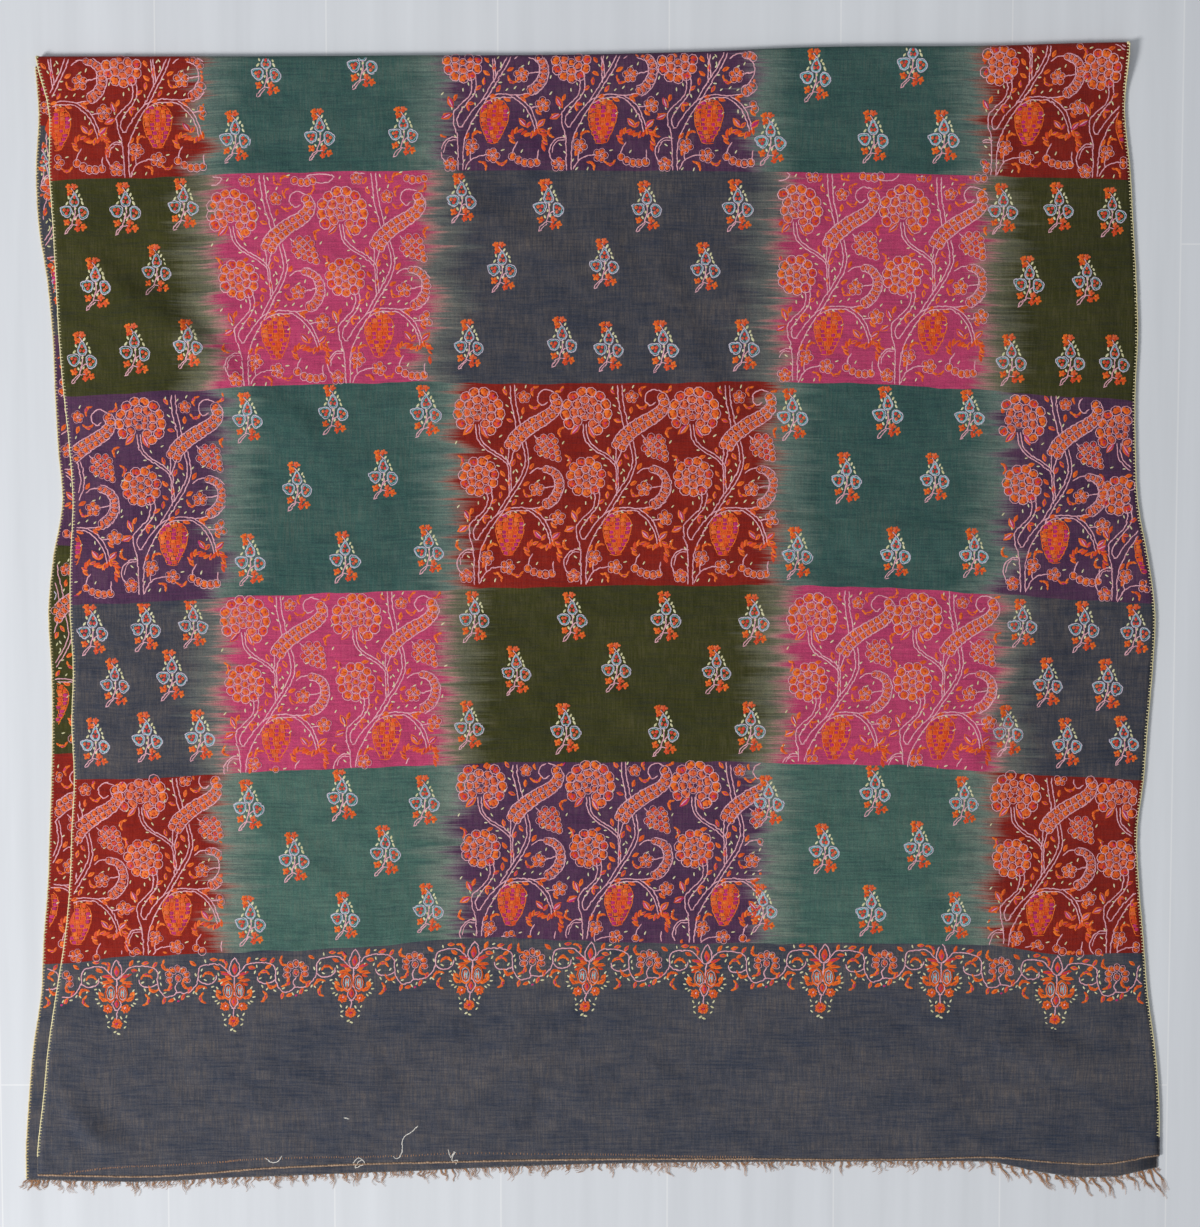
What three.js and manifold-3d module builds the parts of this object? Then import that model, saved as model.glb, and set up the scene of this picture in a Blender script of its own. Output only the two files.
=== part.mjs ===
// An embroidered pashmina shawl, about 1.0 m by 2.0 m, folded once across its middle and laid flat.
// +Y points to the fold, -Y to the two fringed ends, +Z up from the surface it lies on. Sizes in mm.

import * as THREE from 'three';
import { mergeVertices } from 'three/addons/utils/BufferGeometryUtils.js';
import Module from 'manifold-3d';

const wasm = await Module();
wasm.setup();

// ---- driving sizes ----
const WALL = 1.2; // cloth
const SEAM_GAP = 0.3; // between pieces that meet
const EDGING_WIDTH = 3.0; // blanket-stitched selvedge
const EDGING_HEIGHT = 1.16;
const HEM_WIDTH = 2.6; // rolled end of each layer
const HEM_HEIGHT = 1.16;
const HIDDEN_SELVEDGE_INSET = 9; // lower right selvedge, in from the upper one
const CORNER_INSET = 1.5; // the same, where it shows at the corner
const CORNER_REACH = { from: -500, to: -415 }; // y over which the inset narrows towards the corner
const FOLD_RADIUS = 4.3; // outside of the roll at the fold
const FOLD_RISE = 42; // length over which the cloth climbs to the roll
const FOLD_TAIL = 4; // cloth under the roll, on the surface
const FRINGE_STRIP_WIDTH = 1.8;
const FRINGE_STRIP_HEIGHT = 0.9;
const FRINGE_CLEARANCE = 0.25; // lowest fringe point above the surface

// ---- outline of both layers: where each selvedge lies, every 50 mm down from the fold ----
const SELVEDGES = [
  { y: 500, upperLeft: -504, lowerLeft: -507, upperRight: 473 },
  { y: 450, upperLeft: -494.5, lowerLeft: -504, upperRight: 471 },
  { y: 400, upperLeft: -495, lowerLeft: -507, upperRight: 476.5 },
  { y: 350, upperLeft: -492.5, lowerLeft: -505.5, upperRight: 480 },
  { y: 300, upperLeft: -490.5, lowerLeft: -498.5, upperRight: 483.5 },
  { y: 250, upperLeft: -488.5, lowerLeft: -494.5, upperRight: 485.5 },
  { y: 200, upperLeft: -485, lowerLeft: -493, upperRight: 484 },
  { y: 150, upperLeft: -480.5, lowerLeft: -491, upperRight: 485 },
  { y: 100, upperLeft: -478, lowerLeft: -488, upperRight: 488 },
  { y: 50, upperLeft: -481, lowerLeft: -497, upperRight: 498 },
  { y: 0, upperLeft: -482, lowerLeft: -502, upperRight: 505 },
  { y: -50, upperLeft: -480, lowerLeft: -500, upperRight: 503.5 },
  { y: -100, upperLeft: -482, lowerLeft: -500, upperRight: 500 },
  { y: -150, upperLeft: -480.5, lowerLeft: -501.5, upperRight: 497 },
  { y: -200, upperLeft: -483.5, lowerLeft: -504, upperRight: 491.5 },
  { y: -250, upperLeft: -486, lowerLeft: -506.5, upperRight: 494 },
  { y: -300, upperLeft: -491.5, lowerLeft: -511, upperRight: 499 },
  { y: -350, upperLeft: -500, lowerLeft: -514, upperRight: 503.5 },
  { y: -400, upperLeft: -508, lowerLeft: -522, upperRight: 511 },
  { y: -450, upperLeft: -513.5, lowerLeft: -527, upperRight: 515.5 },
  { y: -500, upperLeft: -519.5, lowerLeft: -530.5, upperRight: 516.5 },
];

// ---- the fold and the two ends: where each lies, every 52 mm across ----
const ENDS = [
  { x: -520, fold: 499, upperEnd: -520, lowerEnd: -526 },
  { x: -468, fold: 499, upperEnd: -521, lowerEnd: -527.5 },
  { x: -416, fold: 499, upperEnd: -521.5, lowerEnd: -528 },
  { x: -364, fold: 499, upperEnd: -518.5, lowerEnd: -525 },
  { x: -312, fold: 499, upperEnd: -514, lowerEnd: -523 },
  { x: -260, fold: 499.3, upperEnd: -511.5, lowerEnd: -521 },
  { x: -208, fold: 499.6, upperEnd: -509.5, lowerEnd: -519 },
  { x: -156, fold: 500, upperEnd: -508.3, lowerEnd: -517 },
  { x: -104, fold: 500, upperEnd: -507, lowerEnd: -514.5 },
  { x: -52, fold: 500.2, upperEnd: -506, lowerEnd: -512.5 },
  { x: 0, fold: 501, upperEnd: -505.3, lowerEnd: -511 },
  { x: 52, fold: 502.2, upperEnd: -505, lowerEnd: -510 },
  { x: 104, fold: 503.6, upperEnd: -505, lowerEnd: -509.5 },
  { x: 156, fold: 506, upperEnd: -505, lowerEnd: -509 },
  { x: 208, fold: 507.5, upperEnd: -505.5, lowerEnd: -509 },
  { x: 260, fold: 508, upperEnd: -505.5, lowerEnd: -508.5 },
  { x: 312, fold: 508, upperEnd: -504.5, lowerEnd: -508.5 },
  { x: 364, fold: 508.8, upperEnd: -503.5, lowerEnd: -509 },
  { x: 416, fold: 510.5, upperEnd: -508, lowerEnd: -521 },
  { x: 468, fold: 511.5, upperEnd: -509.5, lowerEnd: -524 },
  { x: 520, fold: 511.5, upperEnd: -501, lowerEnd: -514 },
];

// ---- largest folds pressed into the upper layer: a ridge is raised, a trough lies lower ----
const CREASES = [
  { x0: -463, y0: 314, x1: -365, y1: 244, halfWidth: 22, height: 4.2 },
  { x0: -365, y0: 244, x1: -260, y1: 159, halfWidth: 24, height: 3.8 },
  { x0: -424, y0: 319, x1: -330, y1: 238, halfWidth: 18, height: -2.2 },
  { x0: -315, y0: 349, x1: -209, y1: 292, halfWidth: 24, height: 2.2 },
  { x0: -104, y0: 356, x1: -19, y1: 314, halfWidth: 22, height: 2.6 },
  { x0: -117, y0: 405, x1: -61, y1: 363, halfWidth: 20, height: -1.8 },
  { x0: 16, y0: 321, x1: 73, y1: 222, halfWidth: 18, height: 2.0 },
  { x0: 59, y0: 307, x1: 101, y1: 202, halfWidth: 20, height: 2.6 },
  { x0: 194, y0: 74, x1: 315, y1: 72, halfWidth: 20, height: 3.2 },
  { x0: 194, y0: 52, x1: 323, y1: 31, halfWidth: 18, height: -2.0 },
  { x0: 210, y0: -198, x1: 310, y1: -191, halfWidth: 20, height: 2.6 },
  { x0: -306, y0: -198, x1: -235, y1: -263, halfWidth: 26, height: 2.0 },
  { x0: -387, y0: -438, x1: -206, y1: -379, halfWidth: 22, height: -2.0 },
  { x0: 376, y0: -372, x1: 435, y1: -402, halfWidth: 20, height: 3.4 },
  { x0: -489, y0: -438, x1: -439, y1: -496, halfWidth: 20, height: 3.0 },
  { x0: 401, y0: -47, x1: 361, y1: -140, halfWidth: 15, height: 4.4 },
];

// ---- fringe: locks along the lower end, from the left corner to the right ----
const FRINGES = [
  {
    name: 'short_fringe', from: -529, to: 332, pitch: 10.5,
    shortest: 5, longest: 14, slant: 0.1, sway: 1.0, width: 1.3,
  },
  {
    name: 'long_fringe', from: 358, to: 513, pitch: 10,
    shortest: 16, longest: 23, slant: 0.42, sway: 1.3, width: 1.9,
  },
];

// ---- small helpers ----

// Smooth value of one table column, through rows that are evenly spaced in `along`.
function columnOf(rows, along, name) {
  const first = rows[0][along];
  const step = rows[1][along] - first;
  const value = (row) => rows[THREE.MathUtils.clamp(row, 0, rows.length - 1)][name];
  return (place) => {
    const q = THREE.MathUtils.clamp((place - first) / step, 0, rows.length - 1);
    const row = Math.min(Math.floor(q), rows.length - 2);
    const f = q - row;
    const [a, b, c, d] = [value(row - 1), value(row), value(row + 1), value(row + 2)];
    return b + 0.5 * f * (c - a + f * (2 * a - 5 * b + 4 * c - d + f * (3 * (b - c) + d - a)));
  };
}

// Repeatable uneven numbers between 0 and 1.
function unevenNumbers(seed) {
  let state = seed;
  return () => {
    state = (state * 16807) % 2147483647;
    return state / 2147483647;
  };
}

const upperLeft = columnOf(SELVEDGES, 'y', 'upperLeft');
const lowerLeft = columnOf(SELVEDGES, 'y', 'lowerLeft');
const upperRight = columnOf(SELVEDGES, 'y', 'upperRight');
const foldLine = columnOf(ENDS, 'x', 'fold');
const upperEnd = columnOf(ENDS, 'x', 'upperEnd');
const lowerEnd = columnOf(ENDS, 'x', 'lowerEnd');

const EDGING_ROOM = EDGING_WIDTH + SEAM_GAP;
const HEM_ROOM = HEM_WIDTH + SEAM_GAP;
const FRINGE_ROOM = FRINGE_STRIP_WIDTH + SEAM_GAP;
const LOWER_MIDDLE = WALL / 2; // height of the middle of the lower wall
const UPPER_MIDDLE = WALL + SEAM_GAP + WALL / 2;

// ---- how high the upper layer lies over the lower one ----

function creaseLift(crease, x, y) {
  const runX = crease.x1 - crease.x0;
  const runY = crease.y1 - crease.y0;
  const length = Math.hypot(runX, runY);
  const along = ((x - crease.x0) * runX + (y - crease.y0) * runY) / length;
  const across = ((x - crease.x0) * runY - (y - crease.y0) * runX) / length;
  const past = Math.max(0, -along, along - length) / (1.6 * crease.halfWidth);
  return crease.height * Math.exp(-((across / crease.halfWidth) ** 2) - past ** 2);
}

// Loose swell of the cloth, and its folds. It dies out at the edges, which lie flat.
function lift(x, y, edgeDistance) {
  const swell = 1.7 + 0.8 * Math.sin(x / 83 + y / 140) + 0.6 * Math.sin(y / 71 - x / 190 + 1.3);
  const folds = CREASES.reduce((sum, crease) => sum + creaseLift(crease, x, y), 0);
  const settled = 1 - Math.exp(-((edgeDistance / 28) ** 2));
  return Math.max(0, swell + folds) * settled;
}

// ---- cloth walls ----

// A closed wall from a grid of places, each with a middle point and the direction of its outer face.
function wallFromGrid(grid) {
  const rows = grid.length;
  const columns = grid[0].length;
  const lastRow = rows - 1;
  const lastColumn = columns - 1;
  const positions = [];
  for (const side of [0.5, -0.5]) {
    for (const row of grid) {
      for (const place of row) {
        positions.push(...place.middle.clone().addScaledVector(place.outward, side * WALL).toArray());
      }
    }
  }
  const index = (side, j, i) => side * rows * columns + j * columns + i;
  const faces = [];
  const quad = (a, b, c, d) => faces.push(a, b, c, a, c, d);
  for (let j = 0; j < lastRow; j += 1) {
    for (let i = 0; i < lastColumn; i += 1) {
      quad(index(0, j, i), index(0, j, i + 1), index(0, j + 1, i + 1), index(0, j + 1, i));
      quad(index(1, j, i), index(1, j + 1, i), index(1, j + 1, i + 1), index(1, j, i + 1));
    }
  }
  for (let i = 0; i < lastColumn; i += 1) {
    quad(index(1, 0, i), index(1, 0, i + 1), index(0, 0, i + 1), index(0, 0, i));
    quad(index(0, lastRow, i), index(0, lastRow, i + 1), index(1, lastRow, i + 1), index(1, lastRow, i));
  }
  for (let j = 0; j < lastRow; j += 1) {
    quad(index(0, j, 0), index(0, j + 1, 0), index(1, j + 1, 0), index(1, j, 0));
    quad(
      index(1, j, lastColumn), index(1, j + 1, lastColumn),
      index(0, j + 1, lastColumn), index(0, j, lastColumn),
    );
  }
  return geometryOf(positions, faces);
}

function geometryOf(positions, faces) {
  const geometry = new THREE.BufferGeometry();
  geometry.setAttribute('position', new THREE.Float32BufferAttribute(positions, 3));
  geometry.setIndex(faces);
  return geometry;
}

// Sections of the roll at the fold: how far each lies behind the fold line, how high, and which way it faces.
function foldSections() {
  const centreRadius = FOLD_RADIUS - WALL / 2;
  const turns = 7;
  const sections = [];
  for (const share of [0.25, 0.45, 0.62, 0.78, 0.9]) {
    const back = FOLD_RADIUS + FOLD_RISE * (1 - share);
    sections.push({ back, rise: THREE.MathUtils.smoothstep(share, 0, 1), facing: Math.PI / 2 });
  }
  for (let turn = 0; turn <= turns; turn += 1) {
    const facing = Math.PI / 2 - (Math.PI * turn) / turns;
    const back = FOLD_RADIUS - centreRadius * Math.cos(facing);
    sections.push({ back, height: FOLD_RADIUS + centreRadius * Math.sin(facing), facing });
  }
  sections.push({ back: FOLD_RADIUS + FOLD_TAIL, height: LOWER_MIDDLE, facing: -Math.PI / 2 });
  return sections;
}

const CROWN_MIDDLE = 2 * FOLD_RADIUS - WALL / 2;

// The upper layer: from its end up to the fold, over the roll and down to the surface.
function upperGrid() {
  const columns = 32;
  const flatRows = 29;
  const sections = foldSections();
  const grid = [];
  const across = (y, share) => {
    const left = upperLeft(y) + EDGING_ROOM;
    return left + (upperRight(y) - EDGING_ROOM - left) * share;
  };
  const evenShare = (i) => 0.5 - 0.5 * Math.cos((Math.PI * i) / columns);
  const shareOf = (i) => 0.7 * (i / columns) + 0.3 * evenShare(i); // closer columns near the selvedges
  for (let j = 0; j <= flatRows; j += 1) {
    const row = [];
    for (let i = 0; i <= columns; i += 1) {
      const share = shareOf(i);
      const roughY = THREE.MathUtils.lerp(-512, 456, j / flatRows);
      const roughX = across(roughY, share);
      const start = upperEnd(roughX) + HEM_ROOM;
      const y = THREE.MathUtils.lerp(start, foldLine(roughX) - FOLD_RADIUS - FOLD_RISE, j / flatRows);
      const x = across(y, share);
      const edgeDistance = Math.min(x - across(y, 0), across(y, 1) - x, y - start);
      const height = UPPER_MIDDLE + lift(x, y, edgeDistance);
      row.push({ middle: new THREE.Vector3(x, y, height), outward: new THREE.Vector3(0, 0, 1) });
    }
    grid.push(row);
  }
  for (const { back, rise, height, facing } of sections) {
    const row = [];
    for (let i = 0; i <= columns; i += 1) {
      const share = shareOf(i);
      const y = foldLine(across(500, share)) - back;
      const x = across(y, share);
      const edgeDistance = Math.min(x - across(y, 0), across(y, 1) - x);
      const resting = UPPER_MIDDLE + lift(x, y, edgeDistance);
      const z = height ?? THREE.MathUtils.lerp(resting, CROWN_MIDDLE, rise);
      const outward = new THREE.Vector3(0, Math.cos(facing), Math.sin(facing));
      row.push({ middle: new THREE.Vector3(x, y, z), outward });
    }
    grid.push(row);
  }
  return grid;
}

// Where the right selvedge of the lower layer lies.
function lowerRight(y) {
  const hidden = THREE.MathUtils.smoothstep(y, CORNER_REACH.from, CORNER_REACH.to);
  return upperRight(y) - THREE.MathUtils.lerp(CORNER_INSET, HIDDEN_SELVEDGE_INSET, hidden);
}

// The lower layer: flat on the surface, from its end up to the cloth under the roll.
function lowerGrid() {
  const columns = 22;
  const rows = 20;
  const grid = [];
  const across = (y, share) => {
    const left = lowerLeft(y) + EDGING_ROOM;
    return left + (lowerRight(y) - EDGING_ROOM - left) * share;
  };
  for (let j = 0; j <= rows; j += 1) {
    const row = [];
    for (let i = 0; i <= columns; i += 1) {
      const roughX = across(THREE.MathUtils.lerp(-515, 492, j / rows), i / columns);
      const start = lowerEnd(roughX) + HEM_ROOM + FRINGE_ROOM;
      const y = THREE.MathUtils.lerp(start, foldLine(roughX) - FOLD_RADIUS - FOLD_TAIL - SEAM_GAP, j / rows);
      const x = across(y, i / columns);
      row.push({ middle: new THREE.Vector3(x, y, LOWER_MIDDLE), outward: new THREE.Vector3(0, 0, 1) });
    }
    grid.push(row);
  }
  return grid;
}

// ---- strips that follow an edge of a cloth wall ----

// A closed four-sided strip outside an edge: `away` points out of the cloth, `start` is the gap to it.
function stripAlong(edge, away, start, width, height) {
  const section = [
    { out: start, up: -0.5 },
    { out: start + width, up: -0.32 },
    { out: start + width, up: 0.32 },
    { out: start, up: 0.5 },
  ];
  const rings = edge.map(({ middle, outward }) =>
    section.map(({ out, up }) => {
      const beside = middle.clone().addScaledVector(away, out);
      return beside.addScaledVector(outward, up * height);
    }),
  );
  return loft(rings);
}

// A closed solid through rings of points, capped at both ends, with its faces pointing out.
function loft(rings) {
  const sides = rings[0].length;
  const faces = [];
  for (let k = 0; k < rings.length - 1; k += 1) {
    for (let s = 0; s < sides; s += 1) {
      const next = (s + 1) % sides;
      const [a, b, c, d] = [k * sides + s, k * sides + next, (k + 1) * sides + next, (k + 1) * sides + s];
      faces.push(a, b, c, a, c, d);
    }
  }
  const last = (rings.length - 1) * sides;
  for (let s = 1; s < sides - 1; s += 1) {
    faces.push(0, s + 1, s);
    faces.push(last, last + s, last + s + 1);
  }
  const positions = rings.flat().flatMap((point) => point.toArray());
  const geometry = geometryOf(positions, faces);
  if (signedVolume(geometry) < 0) {
    for (let f = 0; f < faces.length; f += 3) [faces[f + 1], faces[f + 2]] = [faces[f + 2], faces[f + 1]];
    geometry.setIndex(faces);
  }
  return geometry;
}

function signedVolume(geometry) {
  const position = geometry.getAttribute('position');
  const index = geometry.getIndex();
  const [a, b, c] = [new THREE.Vector3(), new THREE.Vector3(), new THREE.Vector3()];
  let volume = 0;
  for (let f = 0; f < index.count; f += 3) {
    a.fromBufferAttribute(position, index.getX(f));
    b.fromBufferAttribute(position, index.getX(f + 1));
    c.fromBufferAttribute(position, index.getX(f + 2));
    volume += a.dot(b.cross(c)) / 6;
  }
  return volume;
}

// ---- fringe ----

function toManifold(geometry) {
  const merged = mergeVertices(geometry, 1e-4);
  const vertProperties = Float32Array.from(merged.getAttribute('position').array);
  const triVerts = Uint32Array.from(merged.getIndex().array);
  return new wasm.Manifold(new wasm.Mesh({ numProp: 3, vertProperties, triVerts }));
}

function fromManifold(solid) {
  const mesh = solid.getMesh();
  return geometryOf(Array.from(mesh.vertProperties), Array.from(mesh.triVerts));
}

// One lock: a three-sided taper from inside the strip, swaying as it runs out over the surface.
function fringeLock(root, heading, length, width, sway, phase) {
  const steps = 4;
  const forward = new THREE.Vector3(heading, -1, 0).normalize();
  const sideways = new THREE.Vector3(-forward.y, forward.x, 0);
  const rings = [];
  for (let k = 0; k <= steps; k += 1) {
    const share = k / steps;
    const girth = width * (1 - 0.72 * share);
    const wander = sway * Math.sin(phase + share * 4.2) * share;
    const middle = root.clone().addScaledVector(forward, length * share).addScaledVector(sideways, wander);
    const low = FRINGE_CLEARANCE + 0.1 * share;
    rings.push([
      middle.clone().addScaledVector(sideways, -girth / 2).setZ(low),
      middle.clone().addScaledVector(sideways, girth / 2).setZ(low),
      middle.clone().setZ(low + girth * 0.45),
    ]);
  }
  return loft(rings);
}

// Where the outside of the lower hem lies at x: straight between the cloth's own columns.
function hemOutside(endRow, x) {
  const passed = endRow.filter((place) => place.middle.x <= x).length;
  const i = THREE.MathUtils.clamp(passed, 1, endRow.length - 1);
  const [a, b] = [endRow[i - 1].middle, endRow[i].middle];
  return THREE.MathUtils.lerp(a.y, b.y, (x - a.x) / (b.x - a.x)) - HEM_ROOM;
}

function fringe(endRow, { name, from, to, pitch, shortest, longest, slant, sway, width }) {
  const uneven = unevenNumbers(name.length * 7919);
  const count = Math.round((to - from) / pitch);
  const rootLine = (x) => hemOutside(endRow, x) - SEAM_GAP;
  const bends = endRow.map((place) => place.middle.x).filter((x) => x > from + 1 && x < to - 1);
  const edge = [from, ...bends, to].map((x) => {
    const middle = new THREE.Vector3(x, rootLine(x), FRINGE_CLEARANCE + FRINGE_STRIP_HEIGHT / 2);
    return { middle, outward: new THREE.Vector3(0, 0, 1) };
  });
  const toEnd = new THREE.Vector3(0, -1, 0);
  let solid = toManifold(stripAlong(edge, toEnd, 0, FRINGE_STRIP_WIDTH, FRINGE_STRIP_HEIGHT));
  for (let k = 0; k < count; k += 1) {
    const x = from + (to - from) * ((k + 0.5 + 0.3 * (uneven() - 0.5)) / count);
    const root = new THREE.Vector3(x, rootLine(x) - FRINGE_STRIP_WIDTH * 0.5, 0);
    const length = shortest + (longest - shortest) * uneven() ** 1.5;
    const heading = slant + 0.24 * (uneven() - 0.5);
    solid = solid.add(toManifold(fringeLock(root, heading, length, width, sway, 6 * uneven())));
  }
  return fromManifold(solid);
}

// ---- materials ----
const cloth = (color) => new THREE.MeshStandardMaterial({ color, roughness: 0.95, metalness: 0 });
const upperCloth = cloth('#4f5f5a');
const underCloth = cloth('#47464b');
const edgingSilk = cloth('#e1d796');
const hemWool = cloth('#af7d55');
const fringeWool = cloth('#b48a60');

// ---- the shawl ----
const pieces = new THREE.Group();

function addPiece(name, geometry, material) {
  const mesh = new THREE.Mesh(geometry, material);
  mesh.name = name;
  pieces.add(mesh);
}

const TO_LEFT = new THREE.Vector3(-1, 0, 0);
const TO_RIGHT = new THREE.Vector3(1, 0, 0);
const TO_END = new THREE.Vector3(0, -1, 0);

function addLayer(layer, grid, material) {
  const leftEdge = grid.map((row) => row[0]);
  const rightEdge = grid.map((row) => row[row.length - 1]);
  const edging = (edge, away) => stripAlong(edge, away, SEAM_GAP, EDGING_WIDTH, EDGING_HEIGHT);
  addPiece(`${layer}_layer`, wallFromGrid(grid), material);
  addPiece(`${layer}_left_edging`, edging(leftEdge, TO_LEFT), edgingSilk);
  addPiece(`${layer}_right_edging`, edging(rightEdge, TO_RIGHT), edgingSilk);
  addPiece(`${layer}_hem`, stripAlong(grid[0], TO_END, SEAM_GAP, HEM_WIDTH, HEM_HEIGHT), hemWool);
}

const lowerPlaces = lowerGrid();
addLayer('upper', upperGrid(), upperCloth);
addLayer('lower', lowerPlaces, underCloth);
for (const row of FRINGES) addPiece(row.name, fringe(lowerPlaces[0], row), fringeWool);

// The origin is the middle of the shawl's box, on the surface it lies on.
const box = new THREE.Box3().setFromObject(pieces);
pieces.position.set(-(box.min.x + box.max.x) / 2, -(box.min.y + box.max.y) / 2, -box.min.z);

const group = new THREE.Group();
group.add(pieces);
export default group;
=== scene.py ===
# An embroidered pashmina shawl, folded once across its middle and laid flat.
# Tables and charts are in mm from the design's own zero: X to the right, Y to the fold, Z up.
import math

import bpy
import numpy as np
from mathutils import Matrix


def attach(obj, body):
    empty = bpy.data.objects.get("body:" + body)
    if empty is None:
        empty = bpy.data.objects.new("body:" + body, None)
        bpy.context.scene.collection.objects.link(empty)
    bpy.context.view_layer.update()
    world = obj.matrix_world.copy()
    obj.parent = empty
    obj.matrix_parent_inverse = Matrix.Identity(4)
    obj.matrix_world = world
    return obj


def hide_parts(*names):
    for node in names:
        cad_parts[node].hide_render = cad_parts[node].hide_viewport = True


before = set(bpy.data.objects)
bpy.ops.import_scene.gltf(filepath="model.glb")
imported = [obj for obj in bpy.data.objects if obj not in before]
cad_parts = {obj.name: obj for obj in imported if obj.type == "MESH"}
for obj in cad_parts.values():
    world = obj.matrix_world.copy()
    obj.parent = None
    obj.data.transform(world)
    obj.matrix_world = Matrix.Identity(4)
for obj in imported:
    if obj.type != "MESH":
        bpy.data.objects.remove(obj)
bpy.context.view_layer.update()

rng = np.random.default_rng(41)

MM = 0.001
MIDDLE = np.array([6.7253, 16.7442, 0.0])  # from the design's zero to the middle of the shawl's box

# ---- the shawl's own sizes, as its solids have them ----
EDGING_ROOM = 3.3
HEM_ROOM = 2.9
FRINGE_ROOM = 2.1
UPPER_MIDDLE = 2.1
LOWER_TOP = 1.2
HALF_WALL = 0.6
EDGE_COVER = 0.9  # the cloth runs on under its edging to this far from the very edge
CLOTH_THICKNESS = 0.95
FOLD_RADIUS = 4.3
FOLD_RISE = 42
FOLD_TAIL = 4
CROWN_MIDDLE = 8.0
HIDDEN_INSET = 9
CORNER_INSET = 1.5
CORNER_FROM, CORNER_TO = -500, -415  # where the lower layer's right edge slips under the upper one
SELVEDGE_ROOM = 5.5  # what stays free of embroidery inside a selvedge
LOWEST_STITCH = 0.83  # height of the middle of an edge stitch on the floor
HEM_STITCH = 2.6
PENDANT_STEP = 106.5
LEAN_HEIGHT = 155  # a chart leans aside by its whole lean at this height

SELVEDGE_UPPER_LEFT = [-504, -494.5, -495, -492.5, -490.5, -488.5, -485, -480.5, -478, -481, -482,
                       -480, -482, -480.5, -483.5, -486, -491.5, -500, -508, -513.5, -519.5]
SELVEDGE_LOWER_LEFT = [-507, -504, -507, -505.5, -498.5, -494.5, -493, -491, -488, -497, -502,
                       -500, -500, -501.5, -504, -506.5, -511, -514, -522, -527, -530.5]
SELVEDGE_UPPER_RIGHT = [473, 471, 476.5, 480, 483.5, 485.5, 484, 485, 488, 498, 505,
                        503.5, 500, 497, 491.5, 494, 499, 503.5, 511, 515.5, 516.5]
FOLD_LINE = [499, 499, 499, 499, 499, 499.3, 499.6, 500, 500, 500.2, 501,
             502.2, 503.6, 506, 507.5, 508, 508, 508.8, 510.5, 511.5, 511.5]
UPPER_END = [-520, -521, -521.5, -518.5, -514, -511.5, -509.5, -508.3, -507, -506, -505.3,
             -505, -505, -505, -505.5, -505.5, -504.5, -503.5, -508, -509.5, -501]
LOWER_END = [-526, -527.5, -528, -525, -523, -521, -519, -517, -514.5, -512.5, -511,
             -510, -509.5, -509, -509, -508.5, -508.5, -509, -521, -524, -514]
# weft lines where one row of checks ends and the next starts, evenly spaced from -490 to 490
WEFT_LINES = [
    [-320.5, -314.5, -312, -309.5, -307, -302.5, -297.5, -298.5, -301,
     -302.5, -301.8, -302.3, -302.3, -302.8, -304, -313.5, -311],
    [-153, -141.5, -135, -138, -152],
    [8, 18.5, 25, 24, 10],
    [196, 208, 208, 208, 193],
    [390, 397, 398, 396, 390],
]
UNDER_WEFT_LINES = [-321, -129, 62, 252, 439]
# folds pressed into the upper layer: from, to, half width, height (a trough is negative)
CREASES = [
    (-463, 314, -365, 244, 22, 4.2), (-365, 244, -260, 159, 24, 3.8), (-424, 319, -330, 238, 18, -2.2),
    (-315, 349, -209, 292, 24, 2.2), (-104, 356, -19, 314, 22, 2.6), (-117, 405, -61, 363, 20, -1.8),
    (16, 321, 73, 222, 18, 2.0), (59, 307, 101, 202, 20, 2.6), (194, 74, 315, 72, 20, 3.2),
    (194, 52, 323, 31, 18, -2.0), (210, -198, 310, -191, 20, 2.6), (-306, -198, -235, -263, 26, 2.0),
    (-387, -438, -206, -379, 22, -2.0), (376, -372, 435, -402, 20, 3.4),
    (-489, -438, -439, -496, 20, 3.0), (401, -47, 361, -140, 15, 4.4),
]
# smaller folds between them
SMALL_FOLDS = [
    (379, -46, 339, -128, 9, 3.2), (397, -54, 357, -136, 10, -4.2), (245, -11, 309, -11, 13, 2.4),
    (82, -408, 132, -364, 14, -2.2), (247, -343, 283, -379, 14, -1.4), (-200, -358, -200, -482, 10, 1.5),
    (-352, 268, -300, 222, 11, 1.2), (-60, 470, 30, 455, 14, 0.9), (120, 150, 165, 60, 14, 1.1),
    (-440, 120, -380, 60, 16, 1.3), (-160, 20, -120, -70, 14, 1.0), (30, -240, 90, -300, 15, 1.0),
    (-430, -200, -390, -290, 16, 1.8), (420, 330, 455, 240, 14, 1.2), (300, 440, 400, 420, 16, 1.0),
    (-250, 90, -180, 130, 13, -1.0), (440, -240, 470, -340, 14, 1.1), (170, -420, 300, -440, 16, 2.0),
    (-60, -430, 40, -455, 17, 1.8), (-199, -392, -199, -488, 5, -1.6), (-55, -395, -56, -485, 4, -0.6),
    (-330, -395, -120, -372, 18, -1.6), (-470, -415, -400, -400, 14, -1.2), (280, -395, 400, -372, 12, -1.4),
    (-410, 330, -340, 250, 9, -1.4), (-499, -449, -459, -490, 7, 6.0), (-485, -427, -444, -470, 8, -5.0),
    (370, -398, 425, -417, 9, 4.0), (386, -374, 442, -391, 9, -3.6), (-300, -460, -215, -425, 13, 3.2),
    (-290, -440, -210, -408, 9, -2.6), (-120, -440, -70, -385, 12, 1.9), (-60, -470, -20, -395, 12, -1.9),
    (220, -470, 330, -455, 12, 2.0),
]


# ---- curves and paths ----

def smooth_between(a, b, c, d, f):
    """A curve's value the share `f` on from b to c, where a lies before them and d after them."""
    return b + 0.5 * f * (c - a + f * (2 * a - 5 * b + 4 * c - d + f * (3 * (b - c) + d - a)))


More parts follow.
